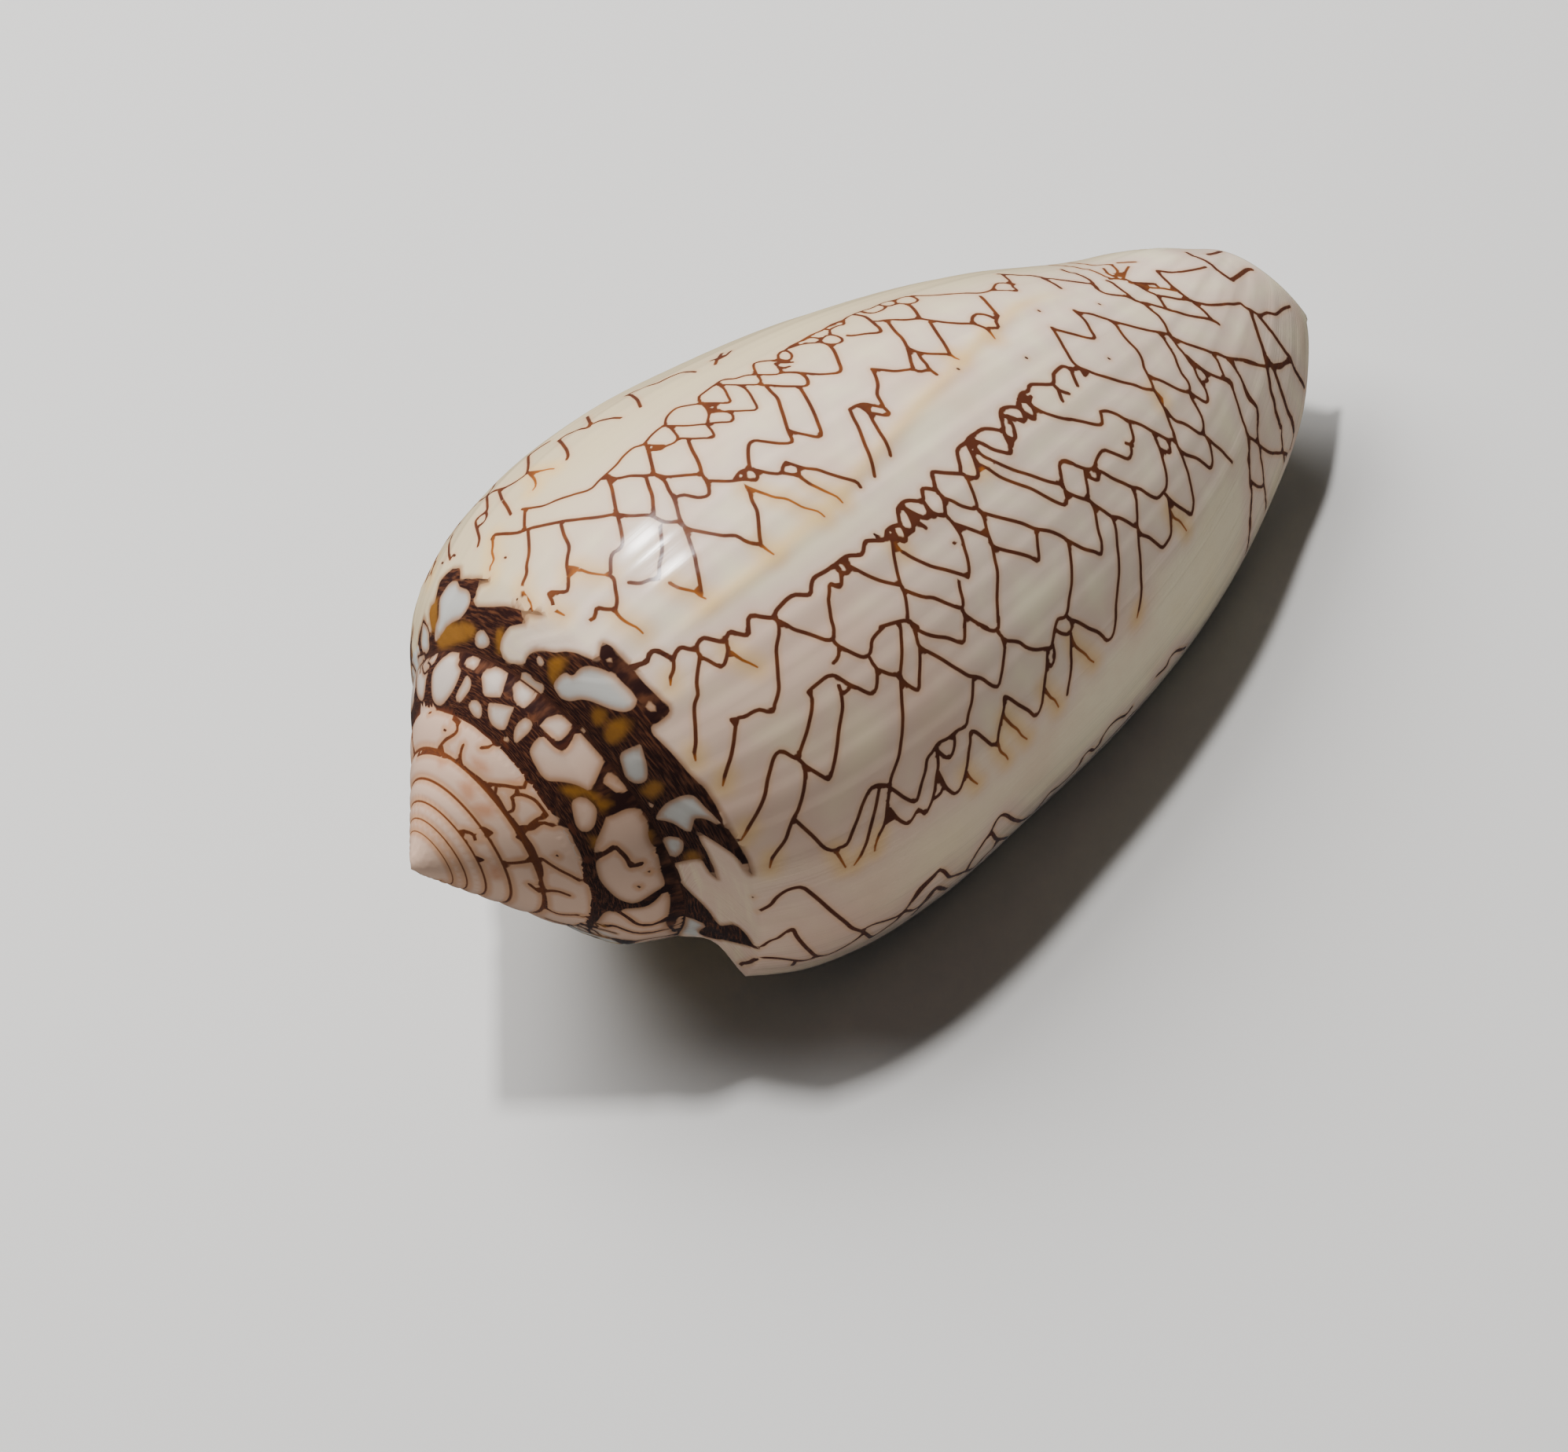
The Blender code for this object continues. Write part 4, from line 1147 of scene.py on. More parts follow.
def zipper(left, right):
    """Triangles between two lines that have different numbers of points."""
    faces = []
    i, j = 0, 0
    while i < len(left) - 1 or j < len(right) - 1:
        ahead = (i + 1) * (len(right) - 1) <= (j + 1) * (len(left) - 1)
        if i < len(left) - 1 and (ahead or j == len(right) - 1):
            faces.append((left[i], right[j], left[i + 1]))
            i += 1
        else:
            faces.append((left[i], right[j], right[j + 1]))
            j += 1
    return faces


def add_mouth(surface, lip_rows, ramp_rows):
    """The hollow behind the slit, the rounded edge of the lip, the rim and the front end."""
    step = TURN / EDGE_STEPS
    deep = int(round(MOUTH_DEPTH / step))
    rows = np.concatenate((ramp_rows[:-1], lip_rows))
    back = -deep * step
    angles = -step * np.arange(deep, -1, -1)

    walls = [outside(np.full(len(w), angle - TURN), w)
             for angle in angles for w in (wall_rows(angle - TURN, lip_rows),)]
    wall_places = np.array([at_axis(*wall) for wall in walls])
    count, length = wall_places.shape[:2]
    wall_q = np.array([wall_rows(angle - TURN, lip_rows) for angle in angles]).ravel()
    wall_numbers = surface.add(wall_places, np.repeat(angles - TURN, length), wall_q,
                               chart_patch(count, length, *CHART_WALL), 0.5)
    wall_numbers = wall_numbers.reshape(count, length)
    surface.add_grid(wall_numbers)

    inner_places = np.array([at_axis(*inner_section(angle, rows, wall))
                             for angle, wall in zip(angles, walls)])
    inner_places[:, 0] = wall_places[:, 0]
    length = inner_places.shape[1]
    inner_numbers = surface.add(inner_places, np.repeat(angles, length), np.tile(rows, count),
                                chart_patch(count, length, *CHART_INNER), 1.0)
    inner_numbers = inner_numbers.reshape(count, length)
    surface.add_grid(inner_numbers, flip=True)
    left = surface.add(inner_places[0], back, rows, chart_patch(1, length, *CHART_SEAM_INNER), 1.0)
    right = surface.add(wall_places[0], back, wall_q[:wall_places.shape[1]],
                        chart_patch(1, wall_places.shape[1], *CHART_SEAM_WALL), 1.0)
    surface.add_triangles(zipper(left, right))

    outer_places = spot(0.0 * rows, rows)
    outer_places[0] = spot(-TURN, SUTURE_LATE)
    middle = 0.5 * (outer_places + inner_places[-1])
    radial = middle * (0.0, 1.0, 1.0)
    radial /= np.linalg.norm(radial, axis=1, keepdims=True)
    forward = np.cross((1.0, 0.0, 0.0), radial)
    across = np.linspace(0.0, np.pi, LIP_STRIPS + 1)[:, None, None]
    strips = middle + np.cos(across) * (outer_places - middle) + np.sin(across) * forward * LIP_ROUNDING
    strips[0], strips[-1] = outer_places, inner_places[-1]
    strips[:, 0] = spot(np.full(LIP_STRIPS + 1, -TURN), lip_rows[2:LIP_STRIPS + 3])
    forth = np.array((LIP_ROUNDING, 0.0, 0.0))
    strips[:, -1] += np.sin(across[:, 0]) * forth
    edge_numbers = surface.add(strips, 0.0, np.tile(rows, LIP_STRIPS + 1),
                               chart_patch(LIP_STRIPS + 1, length, *CHART_LIP),
                               np.repeat(np.linspace(0.0, 1.0, LIP_STRIPS + 1), length))
    edge_numbers = edge_numbers.reshape(LIP_STRIPS + 1, length)
    surface.add_grid(edge_numbers)

    outer_rim = spot(angles, np.ones(count))
    inner_rim = inner_places[:, -1]
    rim = 0.5 * (1.0 + np.cos(across)) * outer_rim + 0.5 * (1.0 - np.cos(across)) * inner_rim
    rim = rim + np.sin(across) * forth
    rim[0], rim[-1], rim[:, -1] = outer_rim, inner_rim, strips[:, -1]
    rim_numbers = surface.add(rim, np.tile(angles, LIP_STRIPS + 1), 1.0,
                              chart_patch(LIP_STRIPS + 1, count, *CHART_RIM),
                              np.repeat(np.linspace(0.0, 1.0, LIP_STRIPS + 1), count))
    rim_numbers = rim_numbers.reshape(LIP_STRIPS + 1, count)
    surface.add_grid(rim_numbers, flip=True)
    add_front_end(surface, back, step, deep, wall_places, rim[:, 0])


def add_front_end(surface, back, step, deep, wall_places, rim):
    """The domed face that closes the front end of the columella."""
    older = -step * np.arange(EDGE_STEPS + deep, EDGE_STEPS, -1)
    newer = -step * np.arange(EDGE_STEPS, deep - 1, -1)
    loop = np.concatenate((wall_places[:-1, -1], spot(newer, np.ones(len(newer))), rim[1:]))
    angle = np.concatenate((older, newer, np.full(len(rim) - 1, back)))
    centre = np.array((loop[:, 0].mean() + TIP_DOME, 0.0, 0.0))
    share = np.linspace(0.0, 1.0, FRONT_RINGS + 1)[:-1, None, None]
    rings = loop * (1.0 - share) + centre * share
    lift = TIP_DOME * (1.0 - (1.0 - share) ** 2 - share)
    rings = rings + lift * (1.0, 0.0, 0.0)
    left, low, width, height = CHART_FRONT
    chart = 0.5 + 0.5 * rings[..., 1:] / CHART_FRONT_REACH
    chart = chart * (width, height) + (left, low)
    numbers = surface.add(rings, np.tile(angle, FRONT_RINGS), 1.0, chart, 0.0)
    numbers = numbers.reshape(FRONT_RINGS, len(loop))
    numbers = np.concatenate((numbers, numbers[:, :1]), 1)
    surface.add_grid(numbers, flip=True)
    middle = surface.add(centre, back, 1.0, ((left + 0.5 * width, low + 0.5 * height),))[0]
    last = numbers[-1]
    fan = np.stack((last[:-1], last[1:], np.full(len(last) - 1, middle)), 1)
    surface.add_triangles(fan)


def welded(surface):
    """Joins the points that several pieces of the surface share."""
    places = np.concatenate(surface.places)
    faces = np.concatenate(surface.triangles)
    _, first, number = np.unique(np.round(places / WELD), axis=0, return_index=True, return_inverse=True)
    number = number.ravel()
    corners = number[faces]
    whole = (corners != np.roll(corners, 1, axis=1)).all(1)
    inside = np.zeros(len(first))
    np.maximum.at(inside, number, np.concatenate(surface.inside))
    return {
        "places": places[first],
        "angle": np.concatenate(surface.angles)[first],
        "q": np.concatenate(surface.levels)[first],
        "inside": inside,
        "faces": corners[whole],
        "chart": np.concatenate(surface.charts)[faces[whole]],
    }


def read_strokes(strokes):
    """Strokes written as pairs of picture pixels, as arrays."""
    return [np.array([[float(n) for n in pair.split(",")] for pair in stroke.split()])
            for stroke in strokes]


def cast_grids():
    """Grids of growth angle and level that cover all of the outside that the camera may see."""
    late = np.linspace(-TURN, 0.0, CAST_STEPS + 1)
    older = np.linspace(-CAST_WHORLS * TURN, -TURN, CAST_OLDER_STEPS * (CAST_WHORLS - 1) + 1)
    share = np.linspace(0.0, 1.0, CAST_OLDER_ROWS)
    top = suture_level(older + TURN)[:, None]
    return (np.broadcast_arrays(late[:, None], np.linspace(0.0, 1.0, CAST_BODY_ROWS)[None]),
            np.broadcast_arrays(late[:, None], np.linspace(-1.0, 0.0, CAST_RAMP_ROWS)[None]),
            np.broadcast_arrays(older[:, None], -1.0 + share[None] * (1.0 + top)))


class Caster:
    """Finds the growth coordinates of the place on the shell that a picture pixel shows."""

    def __init__(self):
        places, growth, faces = [], [], []
        count = 0
        for angle, q in cast_grids():
            numbers = count + np.arange(angle.size).reshape(angle.shape)
            count += angle.size
            places.append(spot(angle.ravel(), q.ravel()))
            growth.append(np.stack((angle.ravel(), q.ravel()), 1))
            faces.append(grid_faces(numbers))
        self.places = np.concatenate(places)
        self.growth = np.concatenate(growth)
        self.faces = np.concatenate(faces)
        self.tree = BVHTree.FromPolygons(self.places.tolist(), self.faces.tolist())
        self.right, self.top, self.towards = camera_frame()
        self.eye = np.array((CAMERA_AIM, 0.0, 0.0)) + CAMERA_DISTANCE * self.towards

    def hit(self, pixel):
        """Growth angle and level at a pixel, or nothing where the ray misses the shell."""
        x = (pixel[0] - AIM_PIXEL[0]) / FOCAL_PIXELS
        y = (AIM_PIXEL[1] - pixel[1]) / FOCAL_PIXELS
        way = x * self.right + y * self.top - self.towards
        place, _, face, _ = self.tree.ray_cast(Vector(self.eye), Vector(way))
        if place is None:
            return None
        corners = self.faces[face]
        a, b, c = self.places[corners]
        normal = np.cross(b - a, c - a)
        area = normal @ normal
        weight_b = np.cross(np.array(place) - a, c - a) @ normal / area
        weight_c = np.cross(b - a, np.array(place) - a) @ normal / area
        return np.array((1.0 - weight_b - weight_c, weight_b, weight_c)) @ self.growth[corners]

    def growth_at(self, pixel):
        """The same for a pixel just beside the outline: it is moved in until it hits."""
        inward = np.array(PICTURE_MIDDLE) - pixel
        inward /= np.linalg.norm(inward)
        for _ in range(MOVES_INWARD):
            found = self.hit(pixel)
            if found is not None:
                return found
            pixel = pixel + MOVE_INWARD * inward
        return None

    def laid(self, strokes, closed=False):
        """Each stroke as smooth parts in the flat map; a new part starts where it changes whorl."""
        found = []
        for stroke in read_strokes(strokes):
            growth = [g for g in (self.growth_at(pixel) for pixel in stroke) if g is not None]
            if len(growth) < 2:
                continue
            growth = np.array(growth)
            flat = np.stack(to_flat(growth[:, 0], growth[:, 1]), 1)
            cuts = np.nonzero(np.abs(np.diff(flat[:, 0])) > JUMP)[0] + 1
            whole = closed and len(cuts) == 0
            found.append([smoothed(part, whole) for part in np.split(flat, cuts)])
        return found


def smoothed(path, closed=False):
    """More points on a smooth curve through those given."""
    if len(path) < 2:
        return path
    if closed:
        path = np.concatenate((path[-1:], path, path[:2]))
    else:
        path = np.concatenate((2 * path[:1] - path[1:2], path, 2 * path[-1:] - path[-2:-1]))
    t = (np.arange(CURVE_PARTS) / CURVE_PARTS)[None, :, None]
    a, b, c, d = (path[k:len(path) - 3 + k, None, :] for k in range(4))
    curve = b + 0.5 * t * (c - a + t * (2 * a - 5 * b + 4 * c - d + t * (3 * (b - c) + d - a)))
    curve = curve.reshape(-1, path.shape[1])
    return curve if closed else np.concatenate((curve, path[-2:-1]))


def in_space(parts, shift=0.0):
    """Points of the shell, in mm, along the parts of a stroke."""
    flat = np.concatenate(parts)
    return spot(*from_flat(flat[:, 0] + shift, flat[:, 1])) / MM


def along_path(path, shift):
    """Growth angle and level at even distances along a part of a stroke."""
    places = in_space([path], shift)
    step = np.linalg.norm(np.diff(places, axis=0), axis=1)
    reach = np.concatenate(((0.0,), np.cumsum(step)))
    at = np.linspace(0.0, reach[-1], max(1, int(round(reach[-1] / LINE_SPACING))) + 1)
    return from_flat(np.interp(at, reach, path[:, 0]) + shift, np.interp(at, reach, path[:, 1]))


class Paint:
    """Distances, in mm, from each point of the surface to what is drawn on it."""

    def __init__(self, angle, q):
        self.angle, self.q = angle, q
        self.places = spot(angle, q) / MM
        self.far_side = angle % TURN - TURN < FAR_SIDE_FROM
        size = len(angle)
        self.gap, self.away, self.fringe = (np.full(size, FAR) for _ in range(3))
        self.tone = np.zeros(size)

    def near(self, line, reach, copy):
        """Numbers of the points close to a line; copies are drawn on the far side alone."""
        low, high = line.min(0) - reach, line.max(0) + reach
        close = ((self.places > low) & (self.places < high)).all(1)
        if copy:
            close &= self.far_side
        return np.nonzero(close)[0]

    def distances(self, numbers, line):
        """Distance to the line, and the share of its length at the nearest point."""
        start, way = line[:-1], np.diff(line, axis=0)
        length2 = np.maximum((way ** 2).sum(1), 1e-18)
        nearest = np.full(len(numbers), np.inf)
        place = np.zeros(len(numbers))
        points = self.places[numbers]
        for k in range(len(way)):
            away = points - start[k]
            share = np.clip(away @ way[k] / length2[k], 0.0, 1.0)
            rest = away - share[:, None] * way[k]
            distance = np.einsum("ij,ij->i", rest, rest)
            closer = distance < nearest
            nearest[closer] = distance[closer]
            place[closer] = k + share[closer]
        return np.sqrt(nearest), place / len(way)

    def draw(self, strokes, shifts, width, tone, ends=False):
        """Draws strokes as lines; line ends get thin and orange and have a fringe."""
        end_width, end_tone = (END_WIDTH, END_TONE) if ends else (width, tone)
        for parts in strokes:
            for copy, shift in enumerate(shifts):
                line = in_space(parts, shift)
                numbers = self.near(line, REACH, copy)
                if len(numbers) == 0:
                    continue
                distance, share = self.distances(numbers, line)
                gap = distance - 0.5 * (width + (end_width - width) * share)
                self.away[numbers] = np.minimum(self.away[numbers], distance)
                if ends:
                    self.fringe[numbers] = np.minimum(self.fringe[numbers], distance)
                closer = gap < self.gap[numbers]
                self.tone[numbers[closer]] = (tone + (end_tone - tone) * share)[closer]
                self.gap[numbers[closer]] = gap[closer]

    def fill(self, strokes, shifts):
        """Signed distance to the nearest of several closed loops, above zero inside, and the
        plain distance to their edges."""
        inside = np.full(len(self.angle), -FAR)
        edge = np.full(len(self.angle), FAR)
        for parts in strokes:
            for copy, shift in enumerate(shifts):
                loop = in_space(parts, shift)
                numbers = self.near(loop, LOOP_REACH, copy)
                if len(numbers) == 0:
                    continue
                ring = np.concatenate((loop, loop[:1]))
                distance, _ = self.distances(numbers, ring)
                signed = np.where(within(self.places[numbers], ring), distance, -distance)
                inside[numbers] = np.maximum(inside[numbers], signed)
                edge[numbers] = np.minimum(edge[numbers], distance)
        return inside, edge


def within(points, ring):
    """Whether points lie inside a ring, seen along the ring's own normal."""
    middle = ring[:-1].mean(0)
    normal = np.cross(ring[:-1] - middle, ring[1:] - middle).sum(0)
    normal /= np.linalg.norm(normal)
    first = np.cross(normal, (1.0, 0.3, 0.2))
    first /= np.linalg.norm(first)
    axes = np.stack((first, np.cross(normal, first)), 1)
    return crossings((points - middle) @ axes, (ring - middle) @ axes)


def crossings(points, ring):
    """Whether points of a plane lie inside a closed ring."""
    inside = np.zeros(len(points), bool)
    x, y = points.T
    for (x0, y0), (x1, y1) in zip(ring[:-1], ring[1:]):
        if y0 != y1:
            inside ^= ((y0 > y) != (y1 > y)) & (x < x0 + (y - y0) * (x1 - x0) / (y1 - y0))
    return inside


def cast_pattern():
    """All strokes read off the picture, laid on the shell."""
    caster = Caster()
    lines = {
        "front_thin": FIRST_FRONT,
        "first_field": FIRST_FIELD,
        "tip_small": TIP_SMALL,
        "field": EDGE_FIELD + EDGE_FAR + SECOND_FIELD + FAR_FIELD + SECOND_FIELD_DOWN,
        "right": RIGHT_LINES,
        "front": SECOND_FRONT + SECOND_FRONT_ON + SECOND_FRONT_DOWN + THIRD_FRONT + THIRD_FRONT_ON,
        "ends": EDGE_ENDS + FIRST_ENDS + SECOND_ENDS + FAR_ENDS + SECOND_ENDS_DOWN,
        "tip": TIP_LINES,
        "band_lines": BAND_LINES,
        "spire_lines": SPIRE_MARKS,
        "sutures": SPIRE_SUTURES,
        "pits": tuple(f"{x},{y} {x + 2},{y + 1}" for x, y in PITS),
    }
    drawn = {name: caster.laid(strokes) for name, strokes in lines.items()}
    drawn["cells"] = caster.laid(BAND_CELLS, closed=True)
    drawn["gold"] = caster.laid(GOLD_PATCHES, closed=True)
    drawn["stains"] = caster.laid(SPIRE_STAINS, closed=True)
    drawn["band"] = [[band_edge(caster)]]
    return drawn


def band_edge(caster):
    """Outer edge of the dark shoulder band, all of it on the last whorl."""
    growth = np.array([caster.growth_at(pixel) for pixel in read_strokes((SHOULDER_BAND,))[0]])
    beyond = growth[:, 0] < -TURN
    turn, u = to_flat(growth[:, 0], growth[:, 1])
    turn = np.where(beyond, turn + TURN, turn)
    return np.stack((turn, np.where(beyond, FLAT_U[0], u)), 1)


def line_points(drawn):
    """Points of the surface along all that is drawn, so that its edges come out sharp."""
    found = []
    for name, strokes in drawn.items():
        if name in ("gold", "stains"):
            continue
        for parts in strokes:
            for copy, shift in enumerate(LINE_STYLES.get(name, (BODY_SHIFTS,))[0]):
                for path in parts:
                    if len(path) < 2:
                        continue
                    angle, q = along_path(path, shift)
                    far_side = angle % TURN - TURN < FAR_SIDE_FROM
                    found.append(np.stack((angle, q), 1)[far_side if copy else angle < 0.0])
    found = np.concatenate(found)
    suture = suture_level(np.minimum(found[:, 0] + TURN, 0.0)) - RIM_CLEAR_LEVEL
    top = np.where(found[:, 0] < -TURN, suture, 1.0)
    found = found[(found[:, 1] < top) & (found[:, 0] < -RIM_CLEAR_ANGLE)
                  & (found[:, 0] > -CAST_WHORLS * TURN)]
    cells = np.round(spot(found[:, 0], found[:, 1]) / LINE_MERGE).astype(int)
    _, first = np.unique(cells, axis=0, return_index=True)
    first.sort()
    return found[first, 0], found[first, 1]


def band_ground(paint, drawn):
    """Distance from the dark ground of the shoulder band: below zero in it, above zero outside."""
    edge = drawn["band"][0][0]
    flat = np.stack(to_flat(paint.angle, paint.q), 1)
    inside = np.full(len(paint.angle), -FAR)
    for copy, shift in enumerate(BODY_SHIFTS):
        line = in_space([edge], shift)
        numbers = paint.near(line, BAND_REACH, copy)
        numbers = numbers[paint.angle[numbers] >= -TURN - ANGLE_TOLERANCE]
        distance, _ = paint.distances(numbers, line)
        moved = edge + (shift, 0.0)
        low = FLAT_U[0] - 0.1
        ring = np.concatenate((moved, ((moved[-1, 0], low), (moved[0, 0], low)), moved[:1]))
        signed = np.where(crossings(flat[numbers], ring), distance, -distance)
        inside[numbers] = np.maximum(inside[numbers], signed)
    ground = -inside
    whorl = paint.angle < -TURN - ANGLE_TOLERANCE
    past = smooth_step((-TURN * WEB_END - paint.angle[whorl]) / WEB_SPAN)
    ground[whorl] = WEB_FADE * past - BAND_DEPTH
    return ground


def draw_sutures(paint):
    """Dark line where each whorl meets the one before."""
    inner = np.linspace(-SUTURE_STROKES * TURN, -SUTURE_WHORLS * TURN, INNER_SUTURE_POINTS)
    whole = np.linspace(-TURN, -SUTURE_WHORLS * TURN, WHOLE_SUTURE_POINTS)
    last = np.linspace(0.0, -TURN, LAST_SUTURE_POINTS)
    older = paint.angle < SUTURE_FROM
    sutures = (
        (inner, older, SUTURE_TONE, SUTURE_SHARE),
        (whole, older & paint.far_side, SUTURE_TONE, SUTURE_SHARE),
        (last, paint.q < LAST_SUTURE_BELOW, BLACK_TONE, LAST_SUTURE_SHARE),
    )
    for angles, points, tone, share in sutures:
        numbers = np.nonzero(points)[0]
        distance, _ = paint.distances(numbers, suture_spot(angles) / MM)
        gap = distance - share * np.hypot(*paint.places[numbers, 1:].T)
        closer = gap < paint.gap[numbers]
        paint.gap[numbers[closer]] = gap[closer]
        paint.tone[numbers[closer]] = tone


def paint_surface(data, drawn):
    """Values for the material at each point of the surface."""
    outer = np.nonzero(data["inside"] == 0.0)[0]
    angle, q = data["angle"][outer], data["q"][outer]
    paint = Paint(angle, q)
    for name, style in LINE_STYLES.items():
        paint.draw(drawn[name], *style, ends=name == "ends")
    draw_sutures(paint)
    cells, border = paint.fill(drawn["cells"], BODY_SHIFTS)
    cells = cells + CELL_SPREAD
    outside_band = band_ground(paint, drawn)
    near_band = outside_band < BAND_MARGIN
    border = np.where(near_band, border - CELL_BORDER, FAR)
    ground = np.minimum(np.maximum(outside_band, cells), border)
    # Painted shade: the pale cells of the band get darker towards their edges, as if they were sunk
    hollow = np.where(near_band, CELL_PAINTED_SHADE * smooth_step(1.0 - cells / CELL_PAINTED_SHADE_REACH), 0.0)
    paint.tone[ground < paint.gap] = BLACK_TONE
    values = {
        "line": np.minimum(paint.gap, ground),
        "tone": paint.tone,
        "away": np.minimum(paint.away, np.maximum(ground, 0.0)),
        "fringe": paint.fringe,
        "gold": smooth_step(0.5 + paint.fill(drawn["gold"], BODY_SHIFTS)[0] / GOLD_SOFTNESS),
        "stain": smooth_step(0.5 + paint.fill(drawn["stains"], SPIRE_SHIFTS)[0] / STAIN_SOFTNESS),
        "flesh": smooth_step((-TURN - angle) / FLESH_SPAN + 1.0) * (q < FLESH_BELOW),
        "ramp": smooth_step(-q / RAMP_SPAN) * smooth_step(0.3 + cells / RAMP_CELL_SPAN),
        "ridge": ridge_height(angle, q),
        # The painted shade of the band's cells, stored on the mesh as hollow
        "hollow": hollow * (cells > CELL_PAINTED_SHADE_FROM),
    }
    size = len(data["places"])
    spread = {"growth": data["angle"], "level": data["q"], "inside": data["inside"]}
    for name, value in values.items():
        whole = np.full(size, FAR if name in ("line", "away", "fringe") else 0.0)
        whole[outer] = value
        spread[name] = whole
    return spread


def ridge_height(angle, q):
    """Height, from 0 to 1, of the ridge along the second pale stripe."""
    degrees, level = np.array(RIDGE).T
    away = (angle - np.radians(np.interp(q, level, degrees))) * outside(angle, q)[1] / MM / RIDGE_WIDTH
    ends = smooth_step((q - level[0]) / RIDGE_FADE_IN)
    ends *= smooth_step((level[-1] + RIDGE_PAST_END - q) / RIDGE_FADE_OUT)
    return np.exp(-away ** 2) * ends


def relief(data):
    """How far each point of the outside stands out: growth waves, the ridge, bulging whorls."""
    angle, q = data["angle"], data["q"]
    rise = sum(MM * high * np.sin(count * angle + start) for count, high, start in GROWTH_WAVES)
    rise = rise * smooth_step((q + 1.0) / WAVE_FADE_SUTURE) * smooth_step((1.0 - q) / WAVE_FADE_FRONT)
    rise = rise * smooth_step(-angle / WAVE_FADE_LIP) * smooth_step((angle + TURN) / WAVE_FADE_WHORL)
    rise = rise + RIDGE_RISE * ridge_height(angle, q)
    share = np.clip((q + 1.0) / (suture_level(np.minimum(angle + TURN, 0.0)) + 1.0), 0.0, 1.0)
    bulge = 4.0 * share * (1.0 - share) * smooth_step((-TURN - angle) / BULGE_FADE)
    rise = rise + WHORL_BULGE * bulge * np.hypot(*data["places"][:, 1:].T)
    return np.where(data["inside"] == 0.0, rise, 0.0)


def worn_tip(data):
    """How far the points round the apex lie back from the sharp tip of the cone."""
    radius = np.hypot(*data["places"][:, 1:].T)
    back = TIP_SLOPE * np.maximum(TIP_WEAR - radius, 0.0) ** 2 / (2.0 * TIP_WEAR)
    return np.where((data["inside"] == 0.0) & (data["angle"] < TIP_FROM), back, 0.0)


def shell_object(data, values):
    """The visible shell, placed in the shared frame."""
    turn = np.array(rest_frame())
    outward = data["places"] * (0.0, 1.0, 1.0)
    outward /= np.maximum(np.linalg.norm(outward, axis=1, keepdims=True), 1e-9)
    places = data["places"] + outward * relief(data)[:, None]
    places[:, 0] += worn_tip(data)
    places = places @ turn[:3, :3].T + turn[:3, 3]
    places[:, 2] = np.maximum(places[:, 2], 0.0)
    mesh = bpy.data.meshes.new("shell_surface")
    faces = data["faces"]
    mesh.vertices.add(len(places))
    mesh.vertices.foreach_set("co", places.astype(np.float32).ravel())
    mesh.loops.add(faces.size)
    mesh.loops.foreach_set("vertex_index", faces.astype(np.int32).ravel())
    mesh.polygons.add(len(faces))
    mesh.polygons.foreach_set("loop_start", (3 * np.arange(len(faces))).astype(np.int32))
    mesh.polygons.foreach_set("use_smooth", np.ones(len(faces), bool))
    mesh.update(calc_edges=True)
    chart = mesh.uv_layers.new(name="OFBake")
    chart.data.foreach_set("uv", data["chart"].astype(np.float32).ravel())
    for name, value in values.items():
        layer = mesh.attributes.new(name, "FLOAT", "POINT")
        layer.data.foreach_set("value", value.astype(np.float32))
    shell = bpy.data.objects.new("shell_visible", mesh)
    bpy.context.scene.collection.objects.link(shell)
    return shell


class Nodes:
    """Short calls to build a material."""

    def __init__(self, name):
        self.material = bpy.data.materials.new(name)
        self.material.use_nodes = True
        self.tree = self.material.node_tree
        self.shader = self.tree.nodes["Principled BSDF"]

    def put(self, socket, value):
        """Links a value to a socket, or sets it there when it is constant."""
        if isinstance(value, bpy.types.NodeSocket):
            self.tree.links.new(value, socket)
        else:
            socket.default_value = value

    def attribute(self, name):
        """A value stored on the mesh."""
        node = self.tree.nodes.new("ShaderNodeAttribute")
        node.attribute_name = name
        return node.outputs["Fac"]

    def ranged(self, value, low, high, to_low=0.0, to_high=1.0):
        """A smooth step of a value between two limits."""
        node = self.tree.nodes.new("ShaderNodeMapRange")
        node.interpolation_type = "SMOOTHSTEP"
        limits = {"From Min": low, "From Max": high, "To Min": to_low, "To Max": to_high}
        self.put(node.inputs["Value"], value)
        for name, number in limits.items():
            node.inputs[name].default_value = number
        return node.outputs["Result"]

    def maths(self, operation, a, b):
        """Two values put together by an operation."""
        node = self.tree.nodes.new("ShaderNodeMath")
        node.operation = operation
        self.put(node.inputs[0], a)
        self.put(node.inputs[1], b)
        return node.outputs[0]

    def product(self, a, b):
        """Two values multiplied."""
        return self.maths("MULTIPLY", a, b)

    def mix(self, share, a, b):
        """Two colours mixed; the share is that of the second."""
        node = self.tree.nodes.new("ShaderNodeMix")
        node.data_type = "RGBA"
        self.put(node.inputs["Factor"], share)
        self.put(node.inputs[6], a)
        self.put(node.inputs[7], b)
        return node.outputs[2]

    def noise(self, growth, level, fineness):
        """Noise that is stretched along or across the growth lines."""
        vector = self.tree.nodes.new("ShaderNodeCombineXYZ")
        self.put(vector.inputs["X"], self.product(growth, fineness[0]))
        self.put(vector.inputs["Y"], self.product(level, fineness[1]))
        node = self.tree.nodes.new("ShaderNodeTexNoise")
        node.inputs["Scale"].default_value = 1.0
        node.inputs["Detail"].default_value = NOISE_DETAIL
        self.put(node.inputs["Vector"], vector.outputs["Vector"])
        return node.outputs["Fac"]


def colour(red, green, blue):
    """A colour given as it looks on a screen, from 0 to 255, as a linear one."""
    shade = np.array((red, green, blue)) / 255.0
    linear = np.where(shade <= 0.04045, shade / 12.92, ((shade + 0.055) / 1.055) ** 2.4)
    return (*linear.tolist(), 1.0)


